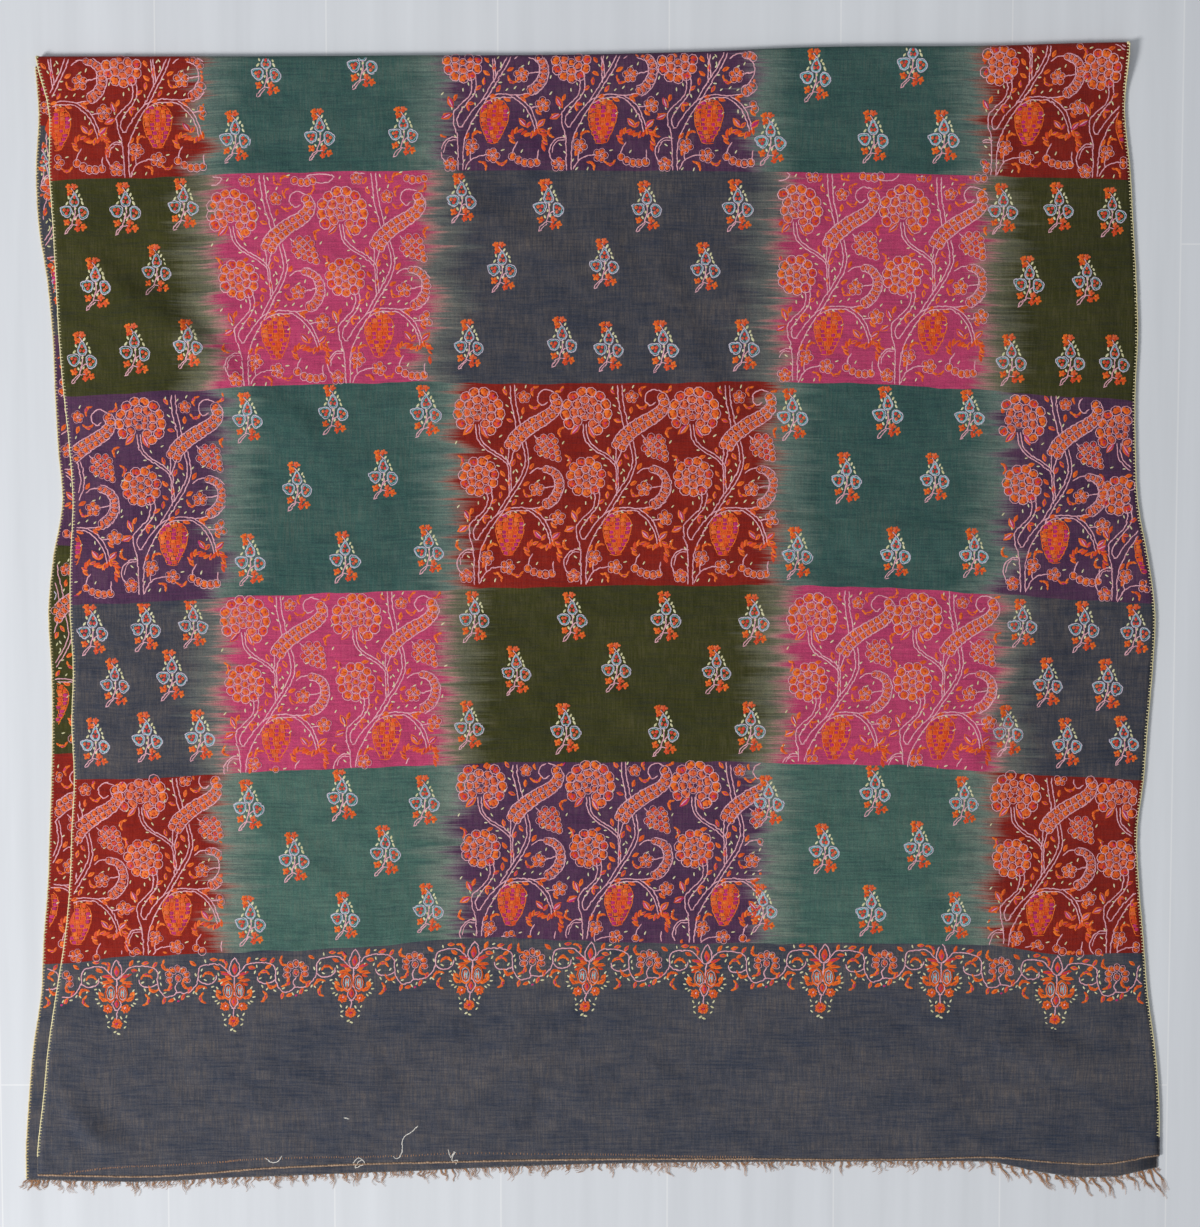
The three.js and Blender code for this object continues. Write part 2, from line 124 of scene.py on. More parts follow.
def smooth_path(points, closed=False, steps=8):
    """Curve through points, as many short chords."""
    p = np.array(points, float)
    if closed:
        p = np.concatenate([p[-1:], p, p[:2]])
    else:
        p = np.concatenate([[2 * p[0] - p[1]], p, [2 * p[-1] - p[-2]]])
    path = []
    for a, b, c, d in zip(p[:-3], p[1:-2], p[2:-1], p[3:]):
        for f in np.arange(steps) / steps:
            path.append(smooth_between(a, b, c, d, f))
    return np.array(path + [p[-2]])


def lengths_along(path):
    """How far along a path each of its points lies."""
    return np.concatenate([[0], np.cumsum(np.linalg.norm(np.diff(path, axis=0), axis=1))])


def places_along(values, far, at):
    """What a path's values are at some lengths along it."""
    return np.stack([np.interp(at, far, values[:, k]) for k in range(values.shape[1])], axis=-1)


def ways_along(path, far, at, reach):
    """Unit ways of a path at some lengths along it, each over `reach` to both sides."""
    before = places_along(path, far, np.maximum(at - reach, 0))
    ways = places_along(path, far, np.minimum(at + reach, far[-1])) - before
    return ways / np.linalg.norm(ways, axis=1)[:, None]


def even_places(path, count):
    """`count` evenly spaced places on a path, with their ways and the spacing."""
    far = lengths_along(path)
    at = (np.arange(count) + 0.5) / count * far[-1]
    gap = far[-1] / count
    before = places_along(path, far, np.maximum(at - gap / 2, 0))
    after = places_along(path, far, np.minimum(at + gap / 2, far[-1]))
    return places_along(path, far, at), after - before, gap


def spaced_places(path, spacing):
    """Evenly spaced places on a path, about `spacing` apart."""
    return even_places(path, max(2, round(lengths_along(path)[-1] / spacing)))


# ---- where the cloth lies ----

def along_table(values, first, step, place):
    """Smooth value of a table at a place between its rows."""
    values = np.asarray(values, float)
    q = np.clip((np.asarray(place, float) - first) / step, 0, len(values) - 1)
    row = np.minimum(q.astype(int), len(values) - 2)
    f = q - row
    a, b, c, d = (values[np.clip(row + k, 0, len(values) - 1)] for k in (-1, 0, 1, 2))
    return smooth_between(a, b, c, d, f)


def down_table(values, y):
    """Value of a table whose rows go down from 500 by 50."""
    return along_table(values, 500, -50, y)


def across_table(values, x):
    """Value of a table whose rows go right from -520 by 52."""
    return along_table(values, -520, 52, x)


def upper_left(y):
    return down_table(SELVEDGE_UPPER_LEFT, y)


def lower_left(y):
    return down_table(SELVEDGE_LOWER_LEFT, y)


def upper_right(y):
    return down_table(SELVEDGE_UPPER_RIGHT, y)


def lower_right(y):
    hidden = np.clip((np.asarray(y, float) - CORNER_FROM) / (CORNER_TO - CORNER_FROM), 0, 1)
    share = hidden * hidden * (3 - 2 * hidden)
    return upper_right(y) - CORNER_INSET - (HIDDEN_INSET - CORNER_INSET) * share


def fold_line(x):
    return across_table(FOLD_LINE, x)


def upper_end(x):
    return across_table(UPPER_END, x)


def lower_end(x):
    return across_table(LOWER_END, x)


def weft_line(row, x):
    """0 is the end, 1 to 5 the lines between the rows of checks, 6 where the cloth starts to climb."""
    if row == 0:
        return upper_end(x) + EDGE_COVER
    if row == 6:
        return fold_line(x) - FOLD_RADIUS - FOLD_RISE
    table = WEFT_LINES[row - 1]
    return along_table(table, -490, 980 / (len(table) - 1), x)


def fold_lift(table, x, y):
    total = np.zeros(np.broadcast(x, y).shape)
    for x0, y0, x1, y1, half_width, height in table:
        length = math.hypot(x1 - x0, y1 - y0)
        along = ((x - x0) * (x1 - x0) + (y - y0) * (y1 - y0)) / length
        across = ((x - x0) * (y1 - y0) - (y - y0) * (x1 - x0)) / length
        past = np.maximum(0, np.maximum(-along, along - length)) / (1.6 * half_width)
        total += height * np.exp(-((across / half_width) ** 2) - past ** 2)
    return total


def beside(table):
    """The trough beside each ridge, up and to the right of it."""
    troughs = []
    for x0, y0, x1, y1, half_width, height in table:
        length = math.hypot(x1 - x0, y1 - y0)
        side = -1 if (y0 - y1) + (x1 - x0) > 0 else 1
        away_x, away_y = side * (y1 - y0) / length, -side * (x1 - x0) / length
        step = 0.8 * half_width
        if height > 0:
            troughs.append((x0 + away_x * step, y0 + away_y * step, x1 + away_x * step, y1 + away_y * step,
                            half_width * 0.45, -0.42 * height))
    return troughs


def lift(x, y, edge):
    """How high the upper layer lies over its resting place, `edge` mm in from its edge."""
    swell = 1.7 + 0.8 * np.sin(x / 83 + y / 140) + 0.6 * np.sin(y / 71 - x / 190 + 1.3)
    ripple = 0.42 * np.sin(x / 19 + 2.1 * np.sin(y / 47)) * np.sin(y / 24 + 1.6 * np.sin(x / 61))
    folds = fold_lift(CREASES + SMALL_FOLDS + beside(CREASES), x, y)
    return np.maximum(0, swell + folds + ripple) * (1 - np.exp(-((edge / 28) ** 2)))


def upper_top(x, y):
    """Height of the face of the upper layer."""
    back = fold_line(x) - y
    left = upper_left(y) + EDGING_ROOM
    right = upper_right(y) - EDGING_ROOM
    edge = np.minimum(np.minimum(x - left, right - x), y - upper_end(x) - HEM_ROOM)
    resting = UPPER_MIDDLE + lift(x, y, np.maximum(0, edge))
    share = np.clip(1 - (back - FOLD_RADIUS) / FOLD_RISE, 0, 1)
    middle = resting + (CROWN_MIDDLE - resting) * share * share * (3 - 2 * share)
    roll = FOLD_RADIUS + np.sqrt(np.maximum(0, FOLD_RADIUS ** 2 - (FOLD_RADIUS - back) ** 2))
    return np.where(back < FOLD_RADIUS, roll, middle + HALF_WALL)


def under_top(x, y):
    return np.full(np.broadcast(x, y).shape, LOWER_TOP)


# ---- meshes ----

def build_mesh(name, points, faces, uv, attributes, materials, slots=None):
    """A mesh object from mm points and faces that all have the same number of corners."""
    points = np.asarray(points, float).reshape(-1, 3)
    faces = np.asarray(faces, np.int32)
    corners = faces.shape[1]
    mesh = bpy.data.meshes.new(name)
    mesh.vertices.add(len(points))
    mesh.vertices.foreach_set("co", ((points + MIDDLE) * MM).ravel())
    mesh.loops.add(faces.size)
    mesh.loops.foreach_set("vertex_index", faces.ravel())
    mesh.polygons.add(len(faces))
    mesh.polygons.foreach_set("loop_start", np.arange(0, faces.size, corners, dtype=np.int32))
    layer = mesh.uv_layers.new(name="cloth_map")
    layer.data.foreach_set("uv", np.asarray(uv, float).reshape(-1, 2)[faces.ravel()].ravel())
    for key, values in attributes.items():
        layer = mesh.attributes.new(key, "FLOAT", "POINT")
        layer.data.foreach_set("value", np.asarray(values, float).ravel())
    for material in materials:
        mesh.materials.append(material)
    if slots is not None:
        mesh.polygons.foreach_set("material_index", np.asarray(slots, np.int32))
    mesh.update(calc_edges=True)
    mesh.validate()
    mesh.shade_smooth()
    obj = bpy.data.objects.new(name, mesh)
    bpy.context.collection.objects.link(obj)
    return obj


def grid_faces(rows, columns):
    corner = np.arange(rows * columns).reshape(rows, columns)
    quads = np.stack([corner[:-1, :-1], corner[:-1, 1:], corner[1:, 1:], corner[1:, :-1]], axis=-1)
    return quads.reshape(-1, 4)


def pick_only(obj):
    bpy.ops.object.select_all(action="DESELECT")
    bpy.context.view_layer.objects.active = obj
    obj.select_set(True)


def thicken(obj, thickness):
    """Give a cloth face its thickness, on the side away from its face."""
    pick_only(obj)
    wall = obj.modifiers.new("wall", "SOLIDIFY")
    wall.thickness = thickness * MM
    wall.offset = -1
    bpy.ops.object.modifier_apply(modifier=wall.name)


# ---- wiring of materials ----

def linear(red, green, blue):
    """Colour values from 0 to 255 as the shader wants them."""
    values = [c / 255 for c in (red, green, blue)]
    return tuple(c / 12.92 if c <= 0.04045 else ((c + 0.055) / 1.055) ** 2.4 for c in values) + (1.0,)


class Wiring:
    """The nodes of one material or group."""

    def __init__(self, tree):
        self.tree = tree

    def node(self, kind, **settings):
        made = self.tree.nodes.new(kind)
        for key, value in settings.items():
            setattr(made, key, value)
        return made

    def feed(self, socket, value):
        if isinstance(value, bpy.types.NodeSocket):
            self.tree.links.new(value, socket)
        else:
            socket.default_value = value

    def math(self, operation, a, b=0.0, c=0.0, clamp=False):
        node = self.node("ShaderNodeMath", operation=operation, use_clamp=clamp)
        for socket, value in zip(node.inputs, (a, b, c)):
            self.feed(socket, value)
        return node.outputs[0]

    def total(self, value, *others):
        for other in others:
            value = self.math("ADD", value, other)
        return value

    def spread(self, value, low, high, out_low, out_high):
        node = self.node("ShaderNodeMapRange")
        for socket, given in zip(node.inputs, (value, low, high, out_low, out_high)):
            self.feed(socket, given)
        return node.outputs[0]

    def swing(self, noise, reach):
        """A noise made to swing from -reach to reach."""
        return self.spread(noise, 0.3, 0.7, -reach, reach)

    def blend(self, share, a, b, kind="MIX"):
        node = self.node("ShaderNodeMix", data_type="RGBA", blend_type=kind)
        self.feed(node.inputs[0], share)
        self.feed(node.inputs[6], a)
        self.feed(node.inputs[7], b)
        return node.outputs[2]

    def stretched_noise(self, place, scale, detail, roughness=0.55):
        """Noise on a place stretched by its own scale along each way of the cloth."""
        node = self.node("ShaderNodeMapping")
        self.feed(node.inputs["Vector"], place)
        node.inputs["Scale"].default_value = scale
        noise = self.node("ShaderNodeTexNoise")
        self.feed(noise.inputs["Vector"], node.outputs[0])
        noise.inputs["Scale"].default_value = 1.0
        noise.inputs["Detail"].default_value = detail
        noise.inputs["Roughness"].default_value = roughness
        return noise.outputs["Fac"]

    def parts(self, vector):
        node = self.node("ShaderNodeSeparateXYZ")
        self.feed(node.inputs[0], vector)
        return node.outputs

    def bump(self, height, distance, strength):
        node = self.node("ShaderNodeBump")
        node.inputs["Strength"].default_value = strength
        node.inputs["Distance"].default_value = distance
        self.feed(node.inputs["Height"], height)
        return node.outputs[0]


def new_group(name, inputs, outputs):
    group = bpy.data.node_groups.new(name, "ShaderNodeTree")
    for key, kind, value in inputs:
        socket = group.interface.new_socket(key, in_out="INPUT", socket_type=kind)
        if value is not None:
            socket.default_value = value
    for key, kind in outputs:
        group.interface.new_socket(key, in_out="OUTPUT", socket_type=kind)
    wiring = Wiring(group)
    return group, wiring, wiring.node("NodeGroupInput").outputs, wiring.node("NodeGroupOutput").inputs


def use_group(wiring, group, **values):
    node = wiring.node("ShaderNodeGroup", node_tree=group)
    for key, value in values.items():
        wiring.feed(node.inputs[key.replace("_", " ")], value)
    return node.outputs


def new_material(name, roughness, sheen=0.0, sheen_roughness=0.5, specular=0.12):
    material = bpy.data.materials.new(name)
    material.use_nodes = True
    shader = material.node_tree.nodes["Principled BSDF"]
    shader.inputs["Roughness"].default_value = roughness
    shader.inputs["Specular IOR Level"].default_value = specular
    shader.inputs["Sheen Weight"].default_value = sheen
    shader.inputs["Sheen Roughness"].default_value = sheen_roughness
    return material, Wiring(material.node_tree), shader


def fine_wool_group():
    """The look of a fine twill of uneven hand-spun yarn, on a place in metres."""
    group, w, given, out = new_group(
        "fine_wool",
        [("Place", "NodeSocketVector", None), ("Colour", "NodeSocketColor", (0.2, 0.2, 0.2, 1)),
         ("Warp Yarn", "NodeSocketColor", (0.3, 0.2, 0.1, 1)),
         ("Weft Yarn", "NodeSocketColor", (0.1, 0.2, 0.3, 1)), ("Yarn Show", "NodeSocketFloat", 0.3)],
        [("Colour", "NodeSocketColor"), ("Height", "NodeSocketFloat")])
    place = given["Place"]
    cloudy = w.stretched_noise(place, (9, 20, 1), 4)
    patches = w.stretched_noise(place, (30, 74, 1), 3, 0.6)
    picks = w.stretched_noise(place, (34, 620, 1), 3, 0.6)
    ends = w.stretched_noise(place, (740, 46, 1), 3, 0.6)
    slubs = w.stretched_noise(place, (95, 520, 1), 1)
    grain = w.stretched_noise(place, (880, 880, 1), 2, 0.7)
    tone = w.total(w.spread(cloudy, 0.3, 0.7, 0.9, 1.08), w.swing(picks, -0.14), w.swing(ends, 0.1),
                   w.swing(grain, 0.24), w.swing(patches, 0.05))
    both = w.total(w.math("MULTIPLY", cloudy, 0.5), w.math("MULTIPLY", patches, 0.5))
    tan = w.math("MULTIPLY", w.spread(ends, 0.42, 0.6, 0.25, 1.0), w.spread(both, 0.3, 0.7, 0.1, 1.0))
    blue = w.math("MULTIPLY", w.spread(picks, 0.42, 0.64, 0.15, 1.0), w.spread(both, 0.34, 0.68, 1.0, 0.2))
    blue = w.math("MAXIMUM", blue, w.spread(slubs, 0.68, 0.74, 0.0, 0.9))
    dyed = w.blend(w.math("MULTIPLY", tan, given["Yarn Show"]), given["Colour"], given["Warp Yarn"])
    dyed = w.blend(w.math("MULTIPLY", blue, given["Yarn Show"]), dyed, given["Weft Yarn"])
    w.feed(out["Colour"], w.blend(1.0, dyed, tone, "MULTIPLY"))
    x, y, _ = w.parts(place)
    twill = w.math("SINE", w.math("MULTIPLY", w.math("ADD", x, y), 2 * math.pi / 0.0016))
    w.feed(out["Height"], w.total(w.math("MULTIPLY", grain, 1.4), w.math("MULTIPLY", picks, 0.6),
                                  w.math("MULTIPLY", ends, 0.5), w.math("MULTIPLY", twill, 0.22)))
    return group


def silk_strand_group():
    """Strands laid side by side in one stitch, on its own map in mm."""
    group, w, given, out = new_group(
        "silk_strands",
        [("Place", "NodeSocketVector", None), ("Light", "NodeSocketColor", None),
         ("Deep", "NodeSocketColor", None), ("Shade", "NodeSocketFloat", 0.5)],
        [("Colour", "NodeSocketColor"), ("Height", "NodeSocketFloat")])
    strands = w.stretched_noise(given["Place"], (0.35, 3.6, 1), 2)
    mottle = w.stretched_noise(given["Place"], (0.4, 1.0, 1), 2)
    share = w.math("ADD", w.math("MULTIPLY", given["Shade"], 0.65), w.spread(strands, 0.3, 0.7, -0.15, 0.35))
    share = w.math("ADD", share, w.spread(mottle, 0.35, 0.65, -0.22, 0.3), clamp=True)
    w.feed(out["Colour"], w.blend(share, given["Light"], given["Deep"]))
    w.feed(out["Height"], strands)
    return group


fine_wool = fine_wool_group()
silk_strands = silk_strand_group()

TEAL = linear(54, 90, 84)
SEA = linear(68, 104, 94)
OLIVE = linear(57, 58, 16)
NAVY = linear(64, 66, 74)
RED = linear(134, 27, 14)
PURPLE = linear(80, 44, 78)
PINK = linear(190, 62, 106)
BAND = linear(68, 71, 80)
PLAIN_CHECKS = (TEAL, SEA, OLIVE, NAVY)
# what is left of each colour where its yarn was tied off from the dye
FADED = {
    TEAL: linear(104, 126, 116), SEA: linear(116, 132, 120), OLIVE: linear(112, 112, 88),
    NAVY: linear(108, 112, 106), RED: linear(150, 112, 100), PURPLE: linear(116, 104, 112),
    PINK: linear(176, 128, 122),
}
# how much of the undyed and the blue yarn shows in each colour
YARN_SHOW = {TEAL: 0.3, SEA: 0.34, OLIVE: 0.2, NAVY: 0.58, RED: 0.12, PURPLE: 0.3, PINK: 0.2}
BAND_SHOW, FADED_SHOW = 0.64, 0.4
UNDYED_YARN, BLUE_YARN = linear(110, 97, 86), linear(44, 58, 84)
HALF_RAMP = 550  # the dye ramps reach this far to both sides of the design's zero
LONG_FADE, SHORT_FADE = 0.034, 0.012  # of a whole ramp, beside the plain and the tree checks

CHECKS = [
    [RED, SEA, PURPLE, SEA, RED],
    [NAVY, PINK, OLIVE, PINK, NAVY],
    [PURPLE, TEAL, RED, TEAL, PURPLE],
    [OLIVE, PINK, NAVY, PINK, OLIVE],
    [RED, TEAL, PURPLE, TEAL, RED],
]
COLUMN_LINES = [
    [-346, -130, 147, 355],
    [-345, -139, 164, 365],
    [-340, -132, 159, 363],
    [-349, -153, 162, 347],
    [-355, -142, 139, 343],
]
UNDER_CHECKS = [CHECKS[row] for row in (0, 3, 2, 1, 4)]


def ikat_ramp(w, place, colours, lines):
    """Colours of one row of checks, and how much bare yarn shows. Where two dye baths meet it stays pale."""
    ramp = w.node("ShaderNodeValToRGB")
    w.feed(ramp.inputs[0], place)
    stops = []
    for k, line in enumerate(lines):
        middle = (line + HALF_RAMP) / (2 * HALF_RAMP)
        before, after = (LONG_FADE if colour in PLAIN_CHECKS else SHORT_FADE for colour in colours[k:k + 2])
        dyed = [colour[:3] + (YARN_SHOW[colour],) for colour in colours[k:k + 2]]
        pale = [FADED[colour][:3] + (FADED_SHOW,) for colour in colours[k:k + 2]]
        stops += [(middle - before, dyed[0]), (middle - before * 0.2, pale[0]),
                  (middle + after * 0.2, pale[1]), (middle + after, dyed[1])]
    while len(ramp.color_ramp.elements) < len(stops):
        ramp.color_ramp.elements.new(1.0)
    for element, (position, colour) in zip(ramp.color_ramp.elements, stops):
        element.position = position
        element.color = colour
    return ramp.outputs


def ikat_cloth(name, checks, column_lines):
    """Twill woven in dyed checks, with its plain band at the end."""
    material, w, shader = new_material(name, 0.9, sheen=0.06)
    place = w.node("ShaderNodeUVMap", uv_map="cloth_map").outputs[0]
    row = w.node("ShaderNodeAttribute", attribute_name="row").outputs["Fac"]
    row = w.total(row, w.swing(w.stretched_noise(place, (17, 3, 1), 2), 0.008))
    x = w.parts(place)[0]
    long_streaks = w.spread(w.stretched_noise(place, (4, 130, 1), 5, 0.62), 0.25, 0.75, -0.017, 0.017)
    short_streaks = w.spread(w.stretched_noise(place, (12, 700, 1), 2, 0.7), 0.25, 0.75, -0.011, 0.011)
    drift = w.swing(w.stretched_noise(place, (3, 30, 1), 2), 0.008)
    dyed_place = w.total(x, long_streaks, short_streaks, drift)
    dyed_place = w.math("DIVIDE", w.math("ADD", dyed_place, HALF_RAMP * MM), 2 * HALF_RAMP * MM)
    colour, yarn_show = BAND, BAND_SHOW
    for number, (colours, lines) in enumerate(zip(checks, column_lines)):
        above = w.math("GREATER_THAN", row, number + 1.0)
        dyed, show = ikat_ramp(w, dyed_place, colours, lines)
        colour = w.blend(above, colour, dyed)
        change = w.math("SUBTRACT", show, yarn_show)
        yarn_show = w.math("MULTIPLY_ADD", above, change, yarn_show)
    # Painted light: the cloth's colour is multiplied from 0.94 at the upper right up to 1.14 at the lower
    # left, the side the lamp shines from
    lamp_side_light = w.math("ADD", w.math("MULTIPLY", x, -0.5), w.math("MULTIPLY", w.parts(place)[1], -0.6))
    colour = w.blend(1.0, colour, w.spread(lamp_side_light, -0.5, 0.5, 0.94, 1.14), "MULTIPLY")
    wool = use_group(w, fine_wool, Place=place, Colour=colour, Warp_Yarn=UNDYED_YARN,
                     Weft_Yarn=BLUE_YARN, Yarn_Show=yarn_show)
    w.feed(shader.inputs["Base Color"], wool["Colour"])
    puckers = w.stretched_noise(place, (62, 62, 1), 3, 0.55)
    creases = w.stretched_noise(place, (21, 27, 1), 2, 0.5)
    height = w.total(w.math("MULTIPLY", wool["Height"], 0.05), w.math("MULTIPLY", puckers, 0.8),
                     w.math("MULTIPLY", creases, 2.2))
    w.feed(shader.inputs["Normal"], w.bump(height, 0.0028, 0.8))
    return material


# threads of the embroidery: light and deep ends of each hank
ORANGE, FLAME, CORAL, ROSE, ICE, MAGENTA, SEED, AQUA = range(8)
HANKS = [
    ("orange_silk", linear(252, 128, 32), linear(210, 74, 18)),
    ("flame_silk", linear(240, 88, 24), linear(196, 50, 20)),
    ("coral_silk", linear(240, 122, 66), linear(208, 80, 48)),
    ("rose_silk", linear(244, 190, 200), linear(214, 148, 162)),
    ("ice_silk", linear(216, 206, 220), linear(182, 172, 194)),
    ("magenta_silk", linear(206, 44, 122), linear(160, 30, 86)),
    ("seed_silk", linear(232, 228, 188), linear(202, 196, 144)),
    ("aqua_silk", linear(164, 212, 218), linear(108, 168, 184)),
]


def silk_thread(name, light, deep):
    material, w, shader = new_material(name, 0.55, sheen=0.1, sheen_roughness=0.4, specular=0.3)
    place = w.node("ShaderNodeUVMap", uv_map="cloth_map").outputs[0]
    shade = w.node("ShaderNodeAttribute", attribute_name="shade").outputs["Fac"]
    silk = use_group(w, silk_strands, Place=place, Light=light, Deep=deep, Shade=shade)
    w.feed(shader.inputs["Base Color"], silk["Colour"])
    w.feed(shader.inputs["Normal"], w.bump(silk["Height"], 0.0004, 0.7))
    return material


silks = [silk_thread(*hank) for hank in HANKS]
edging_silk = silk_thread("edging_silk", linear(246, 236, 190), linear(214, 200, 146))
under_edging_silk = silk_thread("under_edging_silk", linear(236, 220, 172), linear(192, 168, 120))
hem_wool = silk_thread("hem_wool", linear(192, 160, 132), linear(122, 98, 80))
slate_wool = silk_thread("slate_wool", linear(104, 98, 96), linear(72, 72, 78))
fringe_wool = silk_thread("fringe_wool", linear(190, 142, 102), linear(130, 92, 66))
basting_cotton = silk_thread("basting_cotton", linear(246, 242, 234), linear(222, 216, 206))


# ---- the two cloth layers ----

def upper_cloth_places():
    """Grid of face points with their outward ways, from the end up and over the fold."""
    columns = 186
    share = np.linspace(0, 1, columns + 1)

    def across(y):
        left = upper_left(y) + EDGE_COVER
        return left + (upper_right(y) - EDGE_COVER - left) * share

    points, outward, row_values = [], [], []
    for segment, count in enumerate([34, 32, 30, 35, 36, 11]):
        last = segment == 5
        for f in np.linspace(0, 1, count + 1)[: None if last else -1]:
            rough = across(np.full(columns + 1, -505 + 950 * (segment + f) / 6))
            y = weft_line(segment, rough) * (1 - f) + weft_line(segment + 1, rough) * f
            x = across(y)
            points.append(np.stack([x, y, upper_top(x, y)], axis=-1))
            outward.append(np.tile([0.0, 0.0, 1.0], (columns + 1, 1)))
            row_values.append(np.full(columns + 1, segment + f))
    for s in np.linspace(0, 1, 10)[1:-1]:
        y = fold_line(across(np.full(columns + 1, 480.0))) - FOLD_RADIUS - FOLD_RISE * (1 - s)
        x = across(y)
        points.append(np.stack([x, y, upper_top(x, y)], axis=-1))
        outward.append(np.tile([0.0, 0.0, 1.0], (columns + 1, 1)))
        row_values.append(np.full(columns + 1, 6.0))
    centre_radius = FOLD_RADIUS - HALF_WALL
    for turn in list(np.linspace(0, 1, 13)) + [None]:
        facing = math.pi / 2 - math.pi * (1 if turn is None else turn)
        back = FOLD_RADIUS - centre_radius * math.cos(facing)
        z = FOLD_RADIUS + centre_radius * math.sin(facing)
        if turn is None:
            back, z = FOLD_RADIUS + FOLD_TAIL, HALF_WALL
        x = across(fold_line(across(np.full(columns + 1, 500.0))) - back)
        y = fold_line(x) - back
        way = np.array([0.0, math.cos(facing), math.sin(facing)])
        points.append(np.stack([x, y, np.full(columns + 1, z)], axis=-1) + HALF_WALL * way)
        outward.append(np.tile(way, (columns + 1, 1)))
        row_values.append(np.full(columns + 1, 6.0))
    return np.array(points), np.array(outward), np.array(row_values)


def under_cloth_places():
    """Grid of face points of the lower layer, close together where it shows."""
    share = np.concatenate([np.linspace(0, 0.06, 21)[:-1], np.linspace(0.06, 1, 27)])
    columns = len(share)

    def across(y):
        left = lower_left(y) + EDGE_COVER
        return left + (lower_right(y) - EDGE_COVER - left) * share

    points, row_values = [], []
    for segment, count in enumerate([36, 36, 36, 36, 36, 12]):
        for f in np.linspace(0, 1, count + 1)[: None if segment == 5 else -1]:
            rough = across(np.full(columns, -515 + 1000 * (segment + f) / 6))
            start = lower_end(rough) + FRINGE_ROOM + EDGE_COVER
            stop = fold_line(rough) - FOLD_RADIUS - FOLD_TAIL - 0.3
            lines = [start, *[np.full(columns, float(v)) for v in UNDER_WEFT_LINES], stop]
            y = lines[segment] * (1 - f) + lines[segment + 1] * f
            x = across(y)
            points.append(np.stack([x, y, np.full(columns, LOWER_TOP)], axis=-1))
            row_values.append(np.full(columns, segment + f))
    return np.array(points), np.array(row_values)


def cloth_piece(name, points, row_values, material):
    steps = np.linalg.norm(np.diff(points, axis=0), axis=-1)
    way = points[0, :, 1] + np.concatenate([np.zeros((1, points.shape[1])), np.cumsum(steps, axis=0)])
    uv = np.stack([points[..., 0], way], axis=-1) * MM
    obj = build_mesh(name, points, grid_faces(*points.shape[:2]), uv=uv,
                     attributes={"row": row_values}, materials=[material])
    thicken(obj, CLOTH_THICKNESS)
    return obj


upper_points, upper_outward, upper_rows = upper_cloth_places()
under_points, under_rows = under_cloth_places()
ikat = ikat_cloth("ikat_pashmina", CHECKS, COLUMN_LINES)
under_ikat = ikat_cloth("under_ikat_pashmina", UNDER_CHECKS, COLUMN_LINES)
upper_cloth = cloth_piece("shawl_upper_half", upper_points, upper_rows, ikat)
under_cloth = cloth_piece("shawl_under_half", under_points, under_rows, under_ikat)


# ---- stitch forms, each modelled once ----

def take_form(obj):
    """Points and triangles of a modelled form, which then leaves the scene."""
    mesh = obj.data
    mesh.calc_loop_triangles()
    points = np.array([v.co[:] for v in mesh.vertices])
    triangles = np.array([t.vertices[:] for t in mesh.loop_triangles])
    bpy.data.objects.remove(obj, do_unlink=True)
    bpy.data.meshes.remove(mesh)
    return points, triangles


def raise_middle(obj, reach, height):
    """Lift the points nearer the middle than `reach`."""
    for vertex in obj.data.vertices:
        vertex.select = vertex.co.xy.length < reach
    bpy.ops.object.mode_set(mode="EDIT")
    bpy.ops.mesh.select_mode(type="VERT")
    bpy.ops.transform.translate(value=(0, 0, height))
    bpy.ops.object.mode_set(mode="OBJECT")


def round_face(sides):
    bpy.ops.object.select_all(action="DESELECT")
    bpy.ops.mesh.primitive_circle_add(vertices=sides, radius=1, fill_type="TRIFAN")
    return bpy.context.object


def move_corners(obj, factor):
    """Push the four slanting corners out for a square form, or in for a leaf."""
    for vertex in obj.data.vertices:
        vertex.select = abs(vertex.co.x * vertex.co.y) > 0.3
    bpy.ops.object.mode_set(mode="EDIT")
    bpy.ops.mesh.select_mode(type="VERT")
    bpy.ops.transform.resize(value=(factor, factor, 1))
    bpy.ops.mesh.select_all(action="DESELECT")
    bpy.ops.object.mode_set(mode="OBJECT")


def model_filling(sides, factor=None):
    """Domed stitch, satin filling or leaf."""
    obj = round_face(sides)
    bpy.ops.object.mode_set(mode="EDIT")
    bpy.ops.mesh.select_all(action="DESELECT")
    bpy.ops.object.mode_set(mode="OBJECT")
    if factor is not None:
        move_corners(obj, factor)
    raise_middle(obj, 0.2, 1)
    return take_form(obj)


def model_cell_wall():
    """Raised line of stitches round one cell."""
    bpy.ops.object.select_all(action="DESELECT")
    bpy.ops.mesh.primitive_circle_add(vertices=8, radius=1, fill_type="NGON")
    obj = bpy.context.object
    move_corners(obj, 1.14)
    bpy.ops.object.mode_set(mode="EDIT")
    bpy.ops.mesh.select_all(action="SELECT")
    bpy.ops.mesh.inset(thickness=0.09)
    bpy.ops.transform.translate(value=(0, 0, 1))
    bpy.ops.mesh.inset(thickness=0.09)
    bpy.ops.transform.translate(value=(0, 0, -1))
    bpy.ops.mesh.delete(type="ONLY_FACE")
    bpy.ops.object.mode_set(mode="OBJECT")
    return take_form(obj)


def model_wrapped_stitch():
    """Closed round stitch that goes over an edge, one long along X."""
    bpy.ops.object.select_all(action="DESELECT")
    bpy.ops.mesh.primitive_cylinder_add(vertices=6, radius=1, depth=1.6, rotation=(0, math.pi / 2, 0))
    obj = bpy.context.object
    bpy.ops.object.transform_apply(location=True, rotation=True, scale=True)
    for polygon in obj.data.polygons:
        polygon.select = abs(polygon.normal.x) > 0.9
    bpy.ops.object.mode_set(mode="EDIT")
    bpy.ops.mesh.select_mode(type="FACE")
    bpy.ops.mesh.poke(offset=0.2)
    bpy.ops.object.mode_set(mode="OBJECT")
    return take_form(obj)


